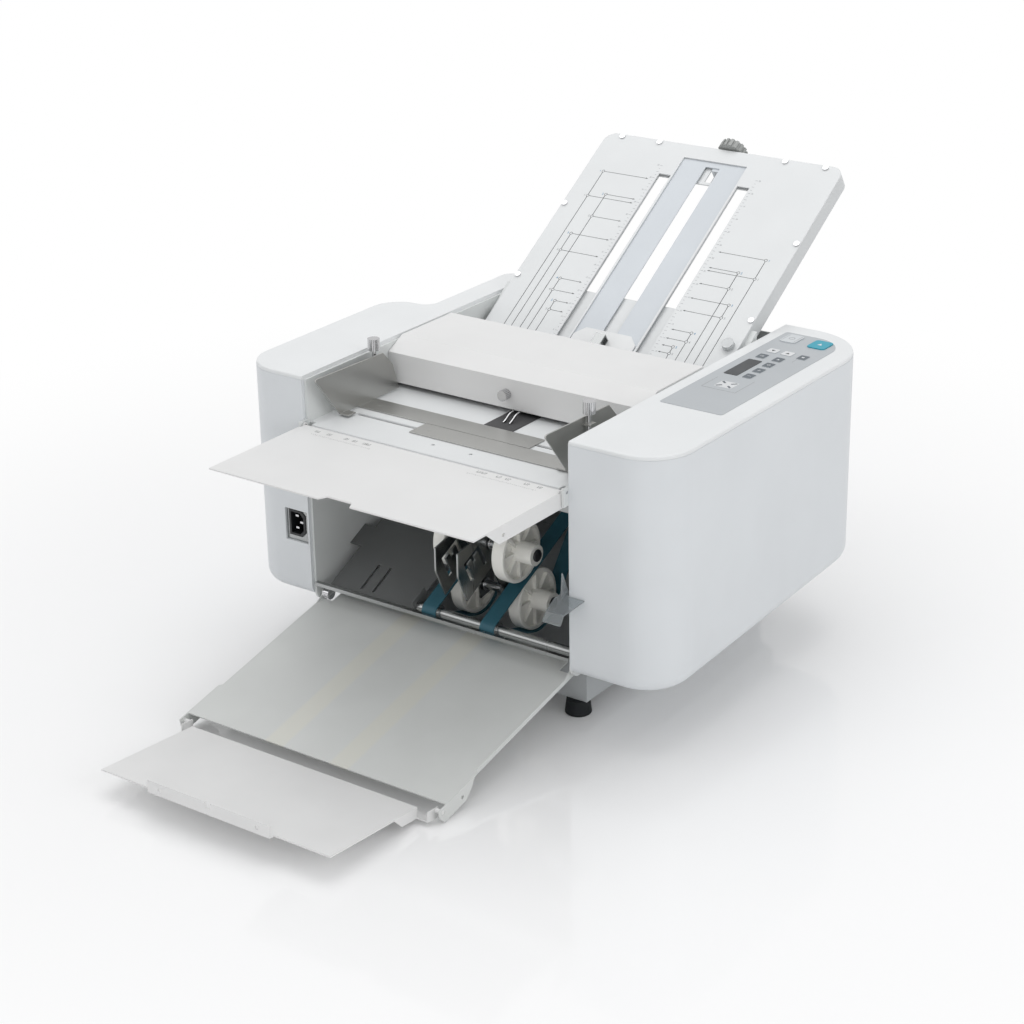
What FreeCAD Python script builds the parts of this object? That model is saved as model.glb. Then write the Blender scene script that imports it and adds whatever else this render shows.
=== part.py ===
"""Desktop paper folding machine, built piece by piece.

Machine axes while modelling: X to the right from the middle of the paper path,
Y to the back from the front faces of the housings, Z up from the table top.
Every piece is then shifted so that the origin is the bottom centre of the whole
machine. The operator stands at -Y.
"""
import FreeCAD, Part
import math
import os

import Sketcher
from FreeCAD import Placement, Rotation, Vector

# Driving dimensions, millimetres and degrees. Each one is a cell of the sheet.
SIZES = {
    # side frames and the gap between the housings
    "gap_half": 170, "frame_sheet": 3, "frame_front": 4, "frame_depth": 418,
    "frame_top": 321, "frame_bottom": 64, "frame_corner": 12,
    "ear_reach": 12, "ear_drop": 16, "pin_radius": 1.6, "running_gap": 0.05,
    "rest_gap": 0.3, "overrun": 2,
    # housings
    "housing_top": 325, "lid_thickness": 4, "lid_inset": 0.5, "lid_round": 1.6,
    "shell_wall": 4, "shell_floor": 8, "bottom_round": 14,
    "right_width": 112, "right_depth": 427, "right_front_round": 50,
    "right_back_round": 72, "housing_bottom": 69.3, "bottom_rise": 20,
    "left_width": 87.5, "left_depth": 419, "left_front_depth": 264,
    "left_rear_width": 33.5, "left_front_round": 45, "left_hip_round": 36,
    "left_step_round": 15, "left_back_round": 16,
    # control film and the two push buttons
    "film_left": 184.2, "film_width": 73.9, "film_front": 142.2, "film_depth": 260,
    "film_height": 0.5, "film_round": 3, "film_back_round": 34,
    "key_width": 11, "key_depth": 13.5, "key_pitch": 20.2, "key_lift": 0.4,
    "key_row_across": 222.8, "key_row_back": 255.6, "key_round": 1.5,
    "mode_across": 202.4, "mode_back": 317.5, "reset_across": 241.5,
    "reset_back": 336.2, "arrow_side": 13, "arrow_back": 337.5,
    "arrow_left": 203.5, "arrow_right": 221.5,
    "display_across": 203, "display_width": 16.5, "display_back": 276.5,
    "display_depth": 53, "display_lift": 0.35,
    "button_lift": 1.1, "button_body": 3.2,
    "button_well": 3.5, "button_round": 4,
    "stop_across": 201.5, "stop_back": 383, "stop_width": 19, "stop_depth": 25,
    "start_across": 237, "start_back": 381.5, "start_width": 21, "start_depth": 25,
    # feed table and folding flap
    "table_height": 273.3, "table_sheet": 2, "table_depth": 198,
    "table_lip": 14, "table_notch": 8, "slot_height": 5, "slot_half_length": 140,
    "rear_slot_back": 82.5, "front_slot_back": 52.5,
    "table_hole_radius": 2, "table_hole_back": 24.5, "table_hole_left": 16.1,
    "table_hole_right": 32.3,
    "pad_across": 13, "pad_width": 37, "pad_front": 98, "pad_depth": 52,
    "pad_sheet": 1, "wire_radius": 0.7, "wire_rise": 9, "wire_reach": 16,
    "flap_half": 166.4, "flap_sheet": 1.5, "flap_reach": 151.6, "flap_gap": 3.5,
    "flap_notch_half": 20, "flap_notch_depth": 9, "flap_notch_across": -3,
    "flange_sheet": 1.5, "flange_drop": 18, "flange_start": 111,
    "flange_slope": 20, "flange_hole_radius": 2, "knuckle_radius": 3.6,
    "flap_pin_front": 2.5, "flap_notch_corner": 8,
    # side guides
    "guide_sheet": 1.5, "guide_left": 150, "guide_right": 143,
    "guide_height": 50.5, "guide_length": 140, "guide_nose": 3,
    "guide_bottom_gap": 1.9, "guide_foot": 12, "guide_foot_width": 12,
    "strip_sheet": 1.4, "strip_width": 29, "strip_length": 224,
    "right_strip_length": 201, "rivet_radius": 2.2, "rivet_inset": 16,
    "rivet_crown": 0.2,
    "lock_radius": 6.6, "lock_height": 13, "lock_stem_radius": 2.2,
    "left_lock_back": 103, "right_lock_back": 70, "lock_outboard": 4.6,
    "lock_lift": 2, "tab_sheet": 1.5, "tab_width": 11, "knurl_depth": 0.5,
    # hinged top cover
    "cover_half": 166.4, "cover_sheet": 2, "cover_back": 257, "cover_break": 167,
    "cover_crease_back": 142, "cover_crease_drop": 12.6, "cover_lip": 278.6,
    "cover_rear_drop": 29, "cover_pin_front": 9, "cover_pin_drop": 9,
    "cover_notch_front": 158, "cover_notch_depth": 24,
    "cover_notch_top": 303, "cover_screw_radius": 6,
    "cover_screw_length": 9, "cover_screw_across": -6.8,
    "cover_screw_drop": 30, "cover_screw_neck": 2,
    # fold plate, measured along its own slope
    "plate_tilt": 32.95, "plate_half": 160, "plate_length": 372,
    "plate_top_back": 567.9, "plate_top_height": 467.9, "plate_sheet": 1.5,
    "plate_round": 14, "plate_depth": 20, "plate_wall": 7,
    "side_slot_inner": 45, "side_slot_width": 16, "side_slot_top": 50,
    "plate_slot_foot": 27, "window_half": 42.5, "window_top": 20,
    "rail_sheet": 1.2, "rail_half": 44, "rail_top": 12, "rail_drop": 1.8,
    "rail_slot_half": 9.3, "rail_slot_top": 28, "rail_foot": 20,
    "back_sheet_drop": 5, "back_slot_half": 30, "stop_half": 41,
    "back_slot_rise": 112, "stop_from_top": 286, "stop_length": 36,
    "stop_sheet": 2, "stop_chamfer": 11, "stem_half": 7,
    "clip_half": 6, "clip_height": 11, "clip_sheet": 1.2, "clip_length": 13,
    "wheel_across": 7, "wheel_radius": 17, "wheel_thickness": 10,
    "wheel_drop": 9, "wheel_gap": 2, "wheel_rib_depth": 1.6,
    "screw_rod_radius": 3, "screw_reach": 46, "nut_half": 7, "nut_length": 14,
    "nut_from_top": 18, "nut_height": 14,
    "screw_head_radius": 3.6, "screw_head_height": 1.6, "screw_shank_radius": 2,
    "screw_shank": 6, "screw_edge": 3.7, "screw_outer_across": 137.4,
    "screw_inner_across": 85, "side_screw_across": 156.2,
    "side_screw_upper": 118, "side_screw_lower": 232.6,
    "latch_radius": 7, "latch_height": 6.5, "latch_across": 148, "latch_from_top": 272,
    "latch_shank": 3, "support_back": 322, "support_length": 34,
    "support_height": 26, "support_drop": 30,
    # fold rollers, feed roller and their drive
    "roller_radius": 18, "roller_half": 158, "roller_touch_gap": 0.3,
    "nip_back": 228, "journal_radius": 6, "journal_end": 178,
    "bearing_wall": 3, "lower_roller_turn": 233.13,
    "feed_back": 170, "feed_height": 291.6, "feed_radius": 17, "feed_half": 22,
    "gear_teeth": 24, "gear_width": 6, "gear_side": 172,
    "pressure_angle": 20, "tooth_thickness": 0.46, "tooth_top": 0.9,
    "tooth_root": 1.2, "belt_side": 181, "belt_pulley_width": 7,
    "belt_pulley_radius": 12, "flat_belt_sheet": 1.5, "flat_belt_width": 6,
    "belt_air": 0.3, "feed_belt_side": 190,
    "motor_back": 318, "motor_height": 142, "motor_radius": 36, "motor_length": 78,
    "motor_shaft_radius": 4, "motor_pulley_radius": 10, "motor_hole_gap": 2,
    # exit shafts, corrugating wheels and conveyor
    "upper_wheel_reach": 72.8, "lower_wheel_reach": 69.5, "exit_shaft_radius": 5,
    "exit_shaft_left": 30, "disc_radius": 34.5, "disc_width": 14, "disc_rim": 4.5,
    "disc_web": 3, "disc_hub_radius": 11.5, "disc_hub_long": 19,
    "disc_hub_short": 4, "disc_ribs": 8, "disc_rib": 3.4,
    "belt_slope": 25.89, "belt_front_height": 92.5,
    "belt_front_back": 5, "conveyor_pulley_radius": 8, "conveyor_belt_sheet": 1.5,
    "conveyor_belt_width": 18, "left_belt_across": -16, "right_belt_across": 60,
    "front_pulley_back": 12.5, "conveyor_teeth": 48, "conveyor_turn": 224.5,
    "bracket_sheet": 2, "left_bracket_across": -4, "right_bracket_across": 25,
    "bracket_depth": 101, "bracket_low": 80, "bracket_high": 236,
    "bracket_front": 5, "letter_side": 30, "letter_back": 15, "letter_height": 152,
    "bar_side": 10, "bar_back": 52, "bar_height": 222,
    "chute_left": 152, "chute_right": 38, "chute_low_back": 10,
    "chute_low_height": 86.5, "chute_length": 178, "chute_sheet": 1.5,
    "chute_lip": 9, "chute_cheek_length": 24, "chute_slot_width": 3, "chute_slot_length": 37,
    "chute_slot_outer": 113, "chute_slot_inner": 97, "chute_slot_start": 5,
    "rail_front": 1, "rail_depth": 5, "rail_low": 84, "rail_high": 88,
    "rail_wall": 2, "rod_radius": 5, "rear_rod_back": 385, "rear_rod_height": 110,
    "middle_rod_back": 268, "middle_rod_height": 120, "upper_rod_back": 385,
    "upper_rod_height": 250,
    "deflector_sheet": 1.5, "deflector_height": 160, "deflector_tilt": 22,
    "deflector_left": 157.5, "deflector_right": 189, "deflector_front": 27,
    "deflector_drop": 19, "deflector_fin_height": 26, "deflector_foot": 9,
    # delivery tray and its extension, measured along the tray's own slope
    "tray_slope": 12.5, "tray_half": 168.5, "tray_length": 227, "tray_sheet": 1.5,
    "tray_hinge_back": 14, "tray_hinge_height": 72, "tray_drop": 4,
    "tray_rear_gap": 6, "tray_behind": 12, "tray_corner": 15,
    "tray_knuckle_radius": 5.5, "tray_ear_start": 181,
    "tray_pin_radius": 3, "tray_ear_depth": 16.8, "tray_ear_sheet": 1.5,
    "tray_ear_reach": 240, "tray_ear_hole": 203.3, "tray_ear_hole_drop": 9.5,
    "tray_ear_hole_radius": 2, "tray_step": 3.5, "tray_step_start": 174, "tray_knob_radius": 6.6,
    "tray_knob_length": 8, "tray_knob_gap": 0.4, "tray_flange": 5,
    "extension_tilt": 4.4, "extension_half": 146, "extension_reach": 141.5,
    "extension_sheet": 1.5, "extension_start": 13, "extension_pin_front": 234,
    "extension_pin_drop": 5, "extension_pin_radius": 2.5, "channel_half": 160,
    "channel_depth": 9, "channel_height": 12, "channel_lift": 1.6,
    "extension_flange": 12, "extension_flange_length": 34, "grip_half": 78,
    "grip_height": 13, "grip_hole_radius": 2, "grip_hole_across": 62,
    "grip_reach": 6, "grip_notch": 3,
    # base, feet, rear cover and electrics
    "base_half": 160, "base_front": 45, "base_back": 405, "base_low": 17,
    "base_high": 64, "base_wall": 3, "foot_radius": 14.5, "foot_across": 146,
    "foot_front": 50, "foot_back": 360, "foot_top_radius": 12.5,
    "rear_sheet": 2, "rear_low": 66, "rear_high": 316, "vent_count": 9,
    "vent_width": 90, "vent_height": 4, "vent_pitch": 10, "vent_low": 110,
    "inlet_left": 203.3, "inlet_right": 172, "inlet_low": 131.7,
    "inlet_high": 168.8, "inlet_recess": 2.5, "inlet_sheet": 2,
    "socket_across": 188, "socket_height": 152.5, "socket_width": 22.5,
    "socket_tall": 30, "socket_chamfer": 5, "socket_depth": 24,
    "socket_wall": 2.6, "socket_floor": 6, "socket_rim": 2,
    "blade_thickness": 2, "blade_tall": 4, "blade_length": 15,
    "blade_pitch": 7, "blade_offset": 3, "supply_depth": 98, "supply_front": 60,
    "supply_low": 98, "supply_high": 178, "supply_width": 52,
    "board_sheet": 1.6, "board_width": 66, "board_depth": 236, "board_gap": 2.4,
    "board_front": 150, "board_left": 190, "post_radius": 3, "post_inset": 8,
}
THIRD, QUARTER, FIFTH = 1 / 3, 1 / 4, 1 / 5


class Size:
    """A number together with the sheet formula that gives it."""

    def __init__(self, value, text):
        self.value = float(value)
        self.text = text

    def __add__(self, other):
        return Size(self.value + value(other), f"({self.text} + {formula(other)})")

    def __radd__(self, other):
        return Size(value(other) + self.value, f"({formula(other)} + {self.text})")

    def __sub__(self, other):
        return Size(self.value - value(other), f"({self.text} - {formula(other)})")

    def __rsub__(self, other):
        return Size(value(other) - self.value, f"({formula(other)} - {self.text})")

    def __mul__(self, other):
        return Size(self.value * value(other), f"({self.text} * {formula(other)})")

    __rmul__ = __mul__

    def __truediv__(self, other):
        return Size(self.value / value(other), f"({self.text} / {formula(other)})")

    def __neg__(self):
        return Size(-self.value, f"(0 - {self.text})")


def value(item):
    return item.value if isinstance(item, Size) else float(item)


def formula(item):
    return item.text if isinstance(item, Size) else repr(item)


def sine(angle):
    return Size(math.sin(math.radians(value(angle))), f"sin({formula(angle)})")


def cosine(angle):
    return Size(math.cos(math.radians(value(angle))), f"cos({formula(angle)})")


class Sheet:
    """Gives each driving dimension as a Size by its name."""

    def __init__(self, document):
        cells = document.addObject("Spreadsheet::Sheet", "Sizes")
        for row, (name, number) in enumerate(SIZES.items(), start=1):
            cells.set(f"A{row}", name)
            cells.set(f"B{row}", str(number))
            cells.setAlias(f"B{row}", name)

    def __getattr__(self, name):
        return Size(SIZES[name], f"Sizes.{name}")


doc = FreeCAD.newDocument("PaperFolder")
s = Sheet(doc)
nodes = {}

# The whole machine's box, from which the origin is worked out.
pin_below_hinge = s.tray_drop + s.extension_pin_drop
extension_pin_back = (s.tray_hinge_back - s.extension_pin_front * cosine(s.tray_slope)
                      + pin_below_hinge * sine(s.tray_slope))
extension_pin_height = (s.tray_hinge_height - s.extension_pin_front * sine(s.tray_slope)
                        - pin_below_hinge * cosine(s.tray_slope))
extension_top = s.extension_pin_drop - s.channel_lift
front_end = (extension_pin_back
             - (s.extension_reach + s.grip_reach) * cosine(s.extension_tilt)
             + (extension_top - s.extension_sheet) * sine(s.extension_tilt))
wheel_end_back = (s.plate_top_back
                  + (s.wheel_gap + s.wheel_thickness) * cosine(s.plate_tilt)
                  + (s.wheel_drop + s.wheel_radius) * sine(s.plate_tilt))
shift_across = (s.left_width - s.right_width) / 2
shift_back = -(front_end + wheel_end_back) / 2


def bind(thing, path, size):
    thing.setExpression(path, formula(size))


def place(thing, label, back=0, height=0, tilt=0, across=0):
    """Put a piece in the machine, tilted about X at its own origin."""
    base = (shift_across + across, shift_back + back, Size(0, "0") + height)
    thing.Placement = Placement(Vector(*[value(part) for part in base]),
                                Rotation(Vector(1, 0, 0), value(tilt)))
    if thing.TypeId != "Part::Feature":
        for axis, part in zip("xyz", base):
            bind(thing, f"Placement.Base.{axis}", part)
        bind(thing, "Placement.Rotation.Angle", tilt)
    if label:
        thing.Label = label
        nodes[label] = thing
    return thing


def new_body(name):
    return doc.addObject("PartDesign::Body", name)


def new_sketch(body, plane, offset):
    """A sketch on one of the body's origin planes, at a coordinate along its normal."""
    sketch = body.newObject("Sketcher::SketchObject", "Outline")
    role = plane + "_Plane"
    face = [item for item in body.Origin.OriginFeatures if item.Role == role][0]
    sketch.AttachmentSupport = (face, "")
    sketch.MapMode = "FlatFace"
    bind(sketch, "AttachmentOffset.Base.z", -offset if plane == "XZ" else offset)
    return sketch


def pin_point(sketch, geometry, point, across, up):
    """Hold a sketch point at two sheet coordinates."""
    for kind, axis, size in (("DistanceX", -2, across), ("DistanceY", -1, up)):
        if not isinstance(size, Size) and size == 0:
            sketch.addConstraint(Sketcher.Constraint("PointOnObject", geometry, point, axis))
            continue
        rule = Sketcher.Constraint(kind, -1, 1, geometry, point, value(size))
        index = sketch.addConstraint(rule)
        bind(sketch, f"Constraints[{index}]", size)


def draw_circle(sketch, across, up, radius):
    circle = Part.Circle(Vector(value(across), value(up), 0), Vector(0, 0, 1), value(radius))
    geometry = sketch.addGeometry(circle, False)
    pin_point(sketch, geometry, 3, across, up)
    index = sketch.addConstraint(Sketcher.Constraint("Radius", geometry, value(radius)))
    bind(sketch, f"Constraints[{index}]", radius)


def corner_arc(before, corner, after, radius):
    """Centre and the two touching points of a round that fills a corner."""
    to_before = (before - corner).normalize()
    to_after = (after - corner).normalize()
    half = to_before.getAngle(to_after) / 2
    reach = radius / math.tan(half)
    middle = (to_before + to_after).normalize()
    centre = corner + middle * (radius / math.sin(half))
    return centre, corner + to_before * reach, corner + to_after * reach


def draw_outline(sketch, corners):
    """A closed outline. A corner is (across, up), or (across, up, radius) where it is round."""
    points = [Vector(value(corner[0]), value(corner[1]), 0) for corner in corners]
    count = len(points)
    arrive, leave, centres = list(points), list(points), [None] * count
    for index, corner in enumerate(corners):
        if len(corner) > 2:
            around = (points[index - 1], points[index], points[(index + 1) % count])
            arc = corner_arc(*around, value(corner[2]))
            centres[index], arrive[index], leave[index] = arc
    sides = []
    for index in range(count):
        line = Part.LineSegment(leave[index], arrive[(index + 1) % count])
        sides.append(sketch.addGeometry(line, False))
    for index, corner in enumerate(corners):
        incoming, outgoing = sides[index - 1], sides[index]
        if centres[index] is None:
            sketch.addConstraint(Sketcher.Constraint("Coincident", incoming, 2, outgoing, 1))
            pin_point(sketch, outgoing, 1, corner[0], corner[1])
            continue
        centre = centres[index]
        first, last = arrive[index] - centre, leave[index] - centre
        turns_left = first.cross(last).z > 0
        begin, finish = (first, last) if turns_left else (last, first)
        circle = Part.Circle(centre, Vector(0, 0, 1), value(corner[2]))
        start_angle = math.atan2(begin.y, begin.x)
        end_angle = math.atan2(finish.y, finish.x)
        arc = sketch.addGeometry(Part.ArcOfCircle(circle, start_angle, end_angle), False)
        arriving, leaving = (1, 2) if turns_left else (2, 1)
        sketch.addConstraint(Sketcher.Constraint("Tangent", incoming, 2, arc, arriving))
        sketch.addConstraint(Sketcher.Constraint("Tangent", outgoing, 1, arc, leaving))
        rule = sketch.addConstraint(Sketcher.Constraint("Radius", arc, value(corner[2])))
        bind(sketch, f"Constraints[{rule}]", corner[2])
        point = sketch.addGeometry(Part.Point(points[index]), True)
        sketch.addConstraint(Sketcher.Constraint("PointOnObject", point, 1, incoming))
        sketch.addConstraint(Sketcher.Constraint("PointOnObject", point, 1, outgoing))
        pin_point(sketch, point, 1, corner[0], corner[1])


def box_outline(left, right, low, high, radius=None):
    corners = [(left, low), (right, low), (right, high), (left, high)]
    return corners if radius is None else [corner + (radius,) for corner in corners]


def fill_sketch(sketch, outlines, circles):
    for outline in outlines:
        draw_outline(sketch, outline)
    for circle in circles:
        draw_circle(sketch, *circle)


def pad(body, plane, start, end, outlines=(), circles=()):
    """Material between two coordinates along the plane's normal axis."""
    sketch = new_sketch(body, plane, end if plane == "XZ" else start)
    fill_sketch(sketch, outlines, circles)
    feature = body.newObject("PartDesign::Pad", "Pad")
    feature.Profile = sketch
    bind(feature, "Length", end - start)
    return feature


def cut(body, plane, start, end, outlines=(), circles=()):
    """Remove material between two coordinates along the plane's normal axis."""
    sketch = new_sketch(body, plane, start if plane == "XZ" else end)
    fill_sketch(sketch, outlines, circles)
    feature = body.newObject("PartDesign::Pocket", "Pocket")
    feature.Profile = sketch
    bind(feature, "Length", end - start)
    return feature


def repeat_around(body, feature, axis, count):
    """Polar pattern of one feature about an origin axis of the body."""
    pattern = body.newObject("PartDesign::PolarPattern", "Around")
    pattern.Originals = [feature]
    role = axis + "_Axis"
    line = [item for item in body.Origin.OriginFeatures if item.Role == role][0]
    pattern.Axis = (line, [""])
    pattern.Angle = 360
    pattern.Occurrences = count
    body.Tip = pattern
    return pattern


def turned(body, plane, outline, axis):
    """A full turn of a half outline about the sketch's own axis."""
    sketch = new_sketch(body, plane, Size(0, "0"))
    draw_outline(sketch, outline)
    feature = body.newObject("PartDesign::Revolution", "Turned")
    feature.Profile = sketch
    feature.ReferenceAxis = (sketch, [axis])
    feature.Angle = 360
    return feature


def round_edges(body, feature, picker, radius):
    """Fillet the edges of the last feature that the picker chooses."""
    doc.recompute()
    names = [f"Edge{index}" for index, edge in enumerate(feature.Shape.Edges, start=1)
             if picker(edge)]
    fillet = body.newObject("PartDesign::Fillet", "Round")
    fillet.Base = (feature, names)
    bind(fillet, "Radius", radius)
    body.Tip = fillet
    return fillet


def group(label, pieces):
    """One node made of separate solids."""
    compound = doc.addObject("Part::Compound", label)
    compound.Links = pieces
    compound.Label = label
    nodes[label] = compound
    return compound


def knurled(body, plane, start, end, radius, depth):
    """A thumb head: a cylinder with a ring of fine grooves."""
    pad(body, plane, start, end, circles=[(0, 0, radius)])
    half = radius / KNURL_SHARE
    groove = [(-half, radius + depth), (0, radius - depth), (half, radius + depth)]
    feature = cut(body, plane, start, end, outlines=[groove])
    axis = {"XY": "Z", "XZ": "Y", "YZ": "X"}[plane]
    return repeat_around(body, feature, axis, KNURLS)


KNURLS = 20
KNURL_SHARE = 11


# Where the rollers and shafts lie: (back, height) pairs.
def along(start, reach, turn):
    """The point a reach away from another in a direction given in degrees."""
    return start[0] + reach * cosine(turn), start[1] + reach * sine(turn)


plate_foot = along((s.plate_top_back, s.plate_top_height), -s.plate_length, s.plate_tilt)
roller_reach = s.roller_radius + s.roller_touch_gap / 2
nip_run = (plate_foot[0] - s.nip_back) / cosine(s.plate_tilt)
nip = along(plate_foot, -nip_run, s.plate_tilt)
upper_roller = along(nip, roller_reach, s.plate_tilt + 90)
middle_roller = along(nip, -roller_reach, s.plate_tilt + 90)
lower_roller = along(middle_roller, roller_reach * 2, s.lower_roller_turn)
conveyor_share = s.conveyor_teeth / s.gear_teeth
conveyor_rear = along(lower_roller, roller_reach * (1 + conveyor_share), s.conveyor_turn)
belt_inner = s.conveyor_pulley_radius + s.belt_air
belt_outer = belt_inner + s.conveyor_belt_sheet
conveyor_front = along((s.front_pulley_back, s.belt_front_height
                        + (s.front_pulley_back - s.belt_front_back)
                        * sine(s.belt_slope) / cosine(s.belt_slope)),
                       -belt_outer, s.belt_slope + 90)
exit_upper = along(along(conveyor_front, s.upper_wheel_reach, s.belt_slope),
                   belt_outer + s.rest_gap + s.disc_radius, s.belt_slope + 90)
exit_lower = along(along(conveyor_front, s.lower_wheel_reach, s.belt_slope),
                   belt_inner - s.rest_gap - s.disc_radius, s.belt_slope + 90)
feed_shaft = (s.feed_back, s.feed_height)
motor_shaft = (s.motor_back, s.motor_height)
flap_pin = (-s.flap_pin_front, s.table_height - s.flap_sheet)
cover_pin = (s.cover_back - s.cover_pin_front, s.housing_top - s.cover_pin_drop)
tray_pin = (s.tray_hinge_back, s.tray_hinge_height)
ROLLER_SHAFTS = [upper_roller, middle_roller, lower_roller, feed_shaft]
frame_inner = s.gap_half - s.frame_sheet


def make_frames():
    """Two steel side frames with ears for the flap, bearings in round holes."""
    bore = s.journal_radius + s.running_gap + s.bearing_wall
    light_bore = s.exit_shaft_radius + s.running_gap + s.bearing_wall
    front, back = s.frame_front, s.frame_depth
    ear_low = s.table_height - s.ear_drop
    ear_high = s.table_height + s.pin_radius * 2
    outline = [(front, s.frame_bottom, s.frame_corner),
               (back, s.frame_bottom, s.frame_corner), (back, s.frame_top),
               (front, s.frame_top), (front, ear_high), (front - s.ear_reach, ear_high),
               (front - s.ear_reach, ear_low), (front, ear_low)]
    holes = [(*spot, bore) for spot in ROLLER_SHAFTS]
    holes.append((*conveyor_rear, light_bore))
    holes.append((*flap_pin, s.pin_radius))
    holes.append((*cover_pin, s.pin_radius))
    holes.append((*tray_pin, s.tray_pin_radius))
    for side, label in ((-1, "left_frame"), (1, "right_frame")):
        body = new_body(label)
        start = frame_inner if side > 0 else -s.gap_half
        end = s.gap_half if side > 0 else -frame_inner
        if side > 0:
            holes.append((*motor_shaft, s.motor_shaft_radius + s.motor_hole_gap))
            holes.append((*conveyor_front, light_bore))
        pad(body, "YZ", start, end, [outline], holes)
        place(body, label)


def make_bearings():
    """Flangeless bushes in the frames, one wherever a shaft runs through."""
    spots = [(spot, side, s.journal_radius) for spot in ROLLER_SHAFTS for side in (-1, 1)]
    spots += [(conveyor_rear, side, s.exit_shaft_radius) for side in (-1, 1)]
    spots.append((conveyor_front, 1, s.exit_shaft_radius))
    bushes = []
    for spot, side, shaft_radius in spots:
        inner = shaft_radius + s.running_gap
        outer = inner + s.bearing_wall
        body = new_body("Bush")
        start = frame_inner if side > 0 else -s.gap_half
        pad(body, "YZ", start, start + s.frame_sheet,
            circles=[(*spot, outer), (*spot, inner)])
        bushes.append(place(body, None))
    group("shaft_bushes", bushes)


def make_cross_members():
    """Tie rods, the square wheel bracket bar and the front rail."""
    rods = []
    for back, height in ((s.rear_rod_back, s.rear_rod_height),
                         (s.middle_rod_back, s.middle_rod_height),
                         (s.upper_rod_back, s.upper_rod_height)):
        body = new_body("Rod")
        pad(body, "YZ", -frame_inner, frame_inner, circles=[(back, height, s.rod_radius)])
        rods.append(place(body, None))
    bar = new_body("Bar")
    square = box_outline(s.bar_back, s.bar_back + s.bar_side, s.bar_height,
                         s.bar_height + s.bar_side)
    pad(bar, "YZ", -frame_inner, frame_inner, [square])
    rods.append(place(bar, None))
    group("tie_rods", rods)

    rail = new_body("front_rail")
    back, wall = s.rail_front + s.rail_depth, s.rail_wall
    angle = [(s.rail_front, s.rail_low), (s.rail_front + wall, s.rail_low),
             (s.rail_front + wall, s.rail_high - wall), (back, s.rail_high - wall),
             (back, s.rail_high), (s.rail_front, s.rail_high)]
    pad(rail, "YZ", -frame_inner, frame_inner, [angle])
    place(rail, "front_rail")


def right_plan(inset):
    """Plan of the right housing, drawn in by an inset on its free sides."""
    left, right = s.gap_half, s.gap_half + s.right_width - inset
    return [(left, inset), (right, inset, s.right_front_round - inset),
            (right, s.right_depth - inset, s.right_back_round - inset),
            (left, s.right_depth - inset)]


def left_plan(inset):
    """Plan of the left housing: wide at the front, narrow behind."""
    right, wide = -s.gap_half, -(s.gap_half + s.left_width) + inset
    narrow = -(s.gap_half + s.left_rear_width) + inset
    step = s.left_front_depth - inset
    back = s.left_depth - inset
    return [(right, inset), (wide, inset, s.left_front_round - inset),
            (wide, step, s.left_hip_round - inset),
            (narrow, step, s.left_step_round + inset),
            (narrow, back, s.left_back_round - inset), (right, back)]


def make_housing(label, plan, depth, side):
    """A moulded shell: rounded below, open towards its side frame and at the top."""
    body = new_body(label)
    shell_top = s.housing_top - s.lid_thickness
    pad(body, "XY", s.housing_bottom, shell_top, [plan(0)])
    sliver = s.overrun
    reach = s.gap_half + s.right_width + sliver
    start, end = (s.gap_half - sliver, reach) if side > 0 else (-reach, sliver - s.gap_half)
    wedge = [(-sliver, s.housing_bottom - sliver), (depth + sliver, s.housing_bottom - sliver),
             (depth + sliver, s.housing_bottom + s.bottom_rise), (0, s.housing_bottom),
             (-sliver, s.housing_bottom)]
    sloped = cut(body, "YZ", start, end, [wedge])

    def is_bottom(edge):
        highest = value(s.housing_bottom + s.bottom_rise + sliver)
        inner = all(abs(abs(vertex.X) - value(s.gap_half)) < value(s.rest_gap)
                    for vertex in edge.Vertexes)
        return edge.BoundBox.ZMax < highest and not inner

    round_edges(body, sloped, is_bottom, s.bottom_round)
    floor = s.housing_bottom + s.bottom_rise + s.shell_floor
    cut(body, "XY", floor, shell_top + sliver, [plan(s.shell_wall)])
    return body


def make_housings():
    right = make_housing("right_housing", right_plan, s.right_depth, 1)
    place(right, "right_housing")
    left = make_housing("left_housing", left_plan, s.left_depth, -1)
    opening = box_outline(-s.inlet_left, -s.inlet_right, s.inlet_low, s.inlet_high)
    cut(left, "XZ", -s.overrun, s.shell_wall + s.overrun, [opening])
    place(left, "left_housing")


def make_lid(label, plan):
    body = new_body(label)
    top = s.housing_top
    slab = pad(body, "XY", top - s.lid_thickness, top, [plan(s.lid_inset)])

    def is_top(edge):
        level = edge.BoundBox.ZMin > value(top - s.lid_thickness / 2)
        inner = all(abs(abs(vertex.X) - value(s.gap_half)) < value(s.rest_gap)
                    for vertex in edge.Vertexes)
        return level and not inner

    round_edges(body, slab, is_top, s.lid_round)
    return body


def between(first, second):
    """Two coordinates in rising order."""
    return (first, second) if value(first) < value(second) else (second, first)


def centred_box(across, back, width, depth, radius):
    return box_outline(across - width / 2, across + width / 2,
                       back - depth / 2, back + depth / 2, radius)


def button_outlines(gap):
    """Outlines of the stop and the start button, grown by a gap."""
    radius = s.button_round + gap
    grow = gap * 2
    return [centred_box(s.stop_across, s.stop_back, s.stop_width + grow,
                        s.stop_depth + grow, radius),
            centred_box(s.start_across, s.start_back, s.start_width + grow,
                        s.start_depth + grow, radius)]


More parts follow.
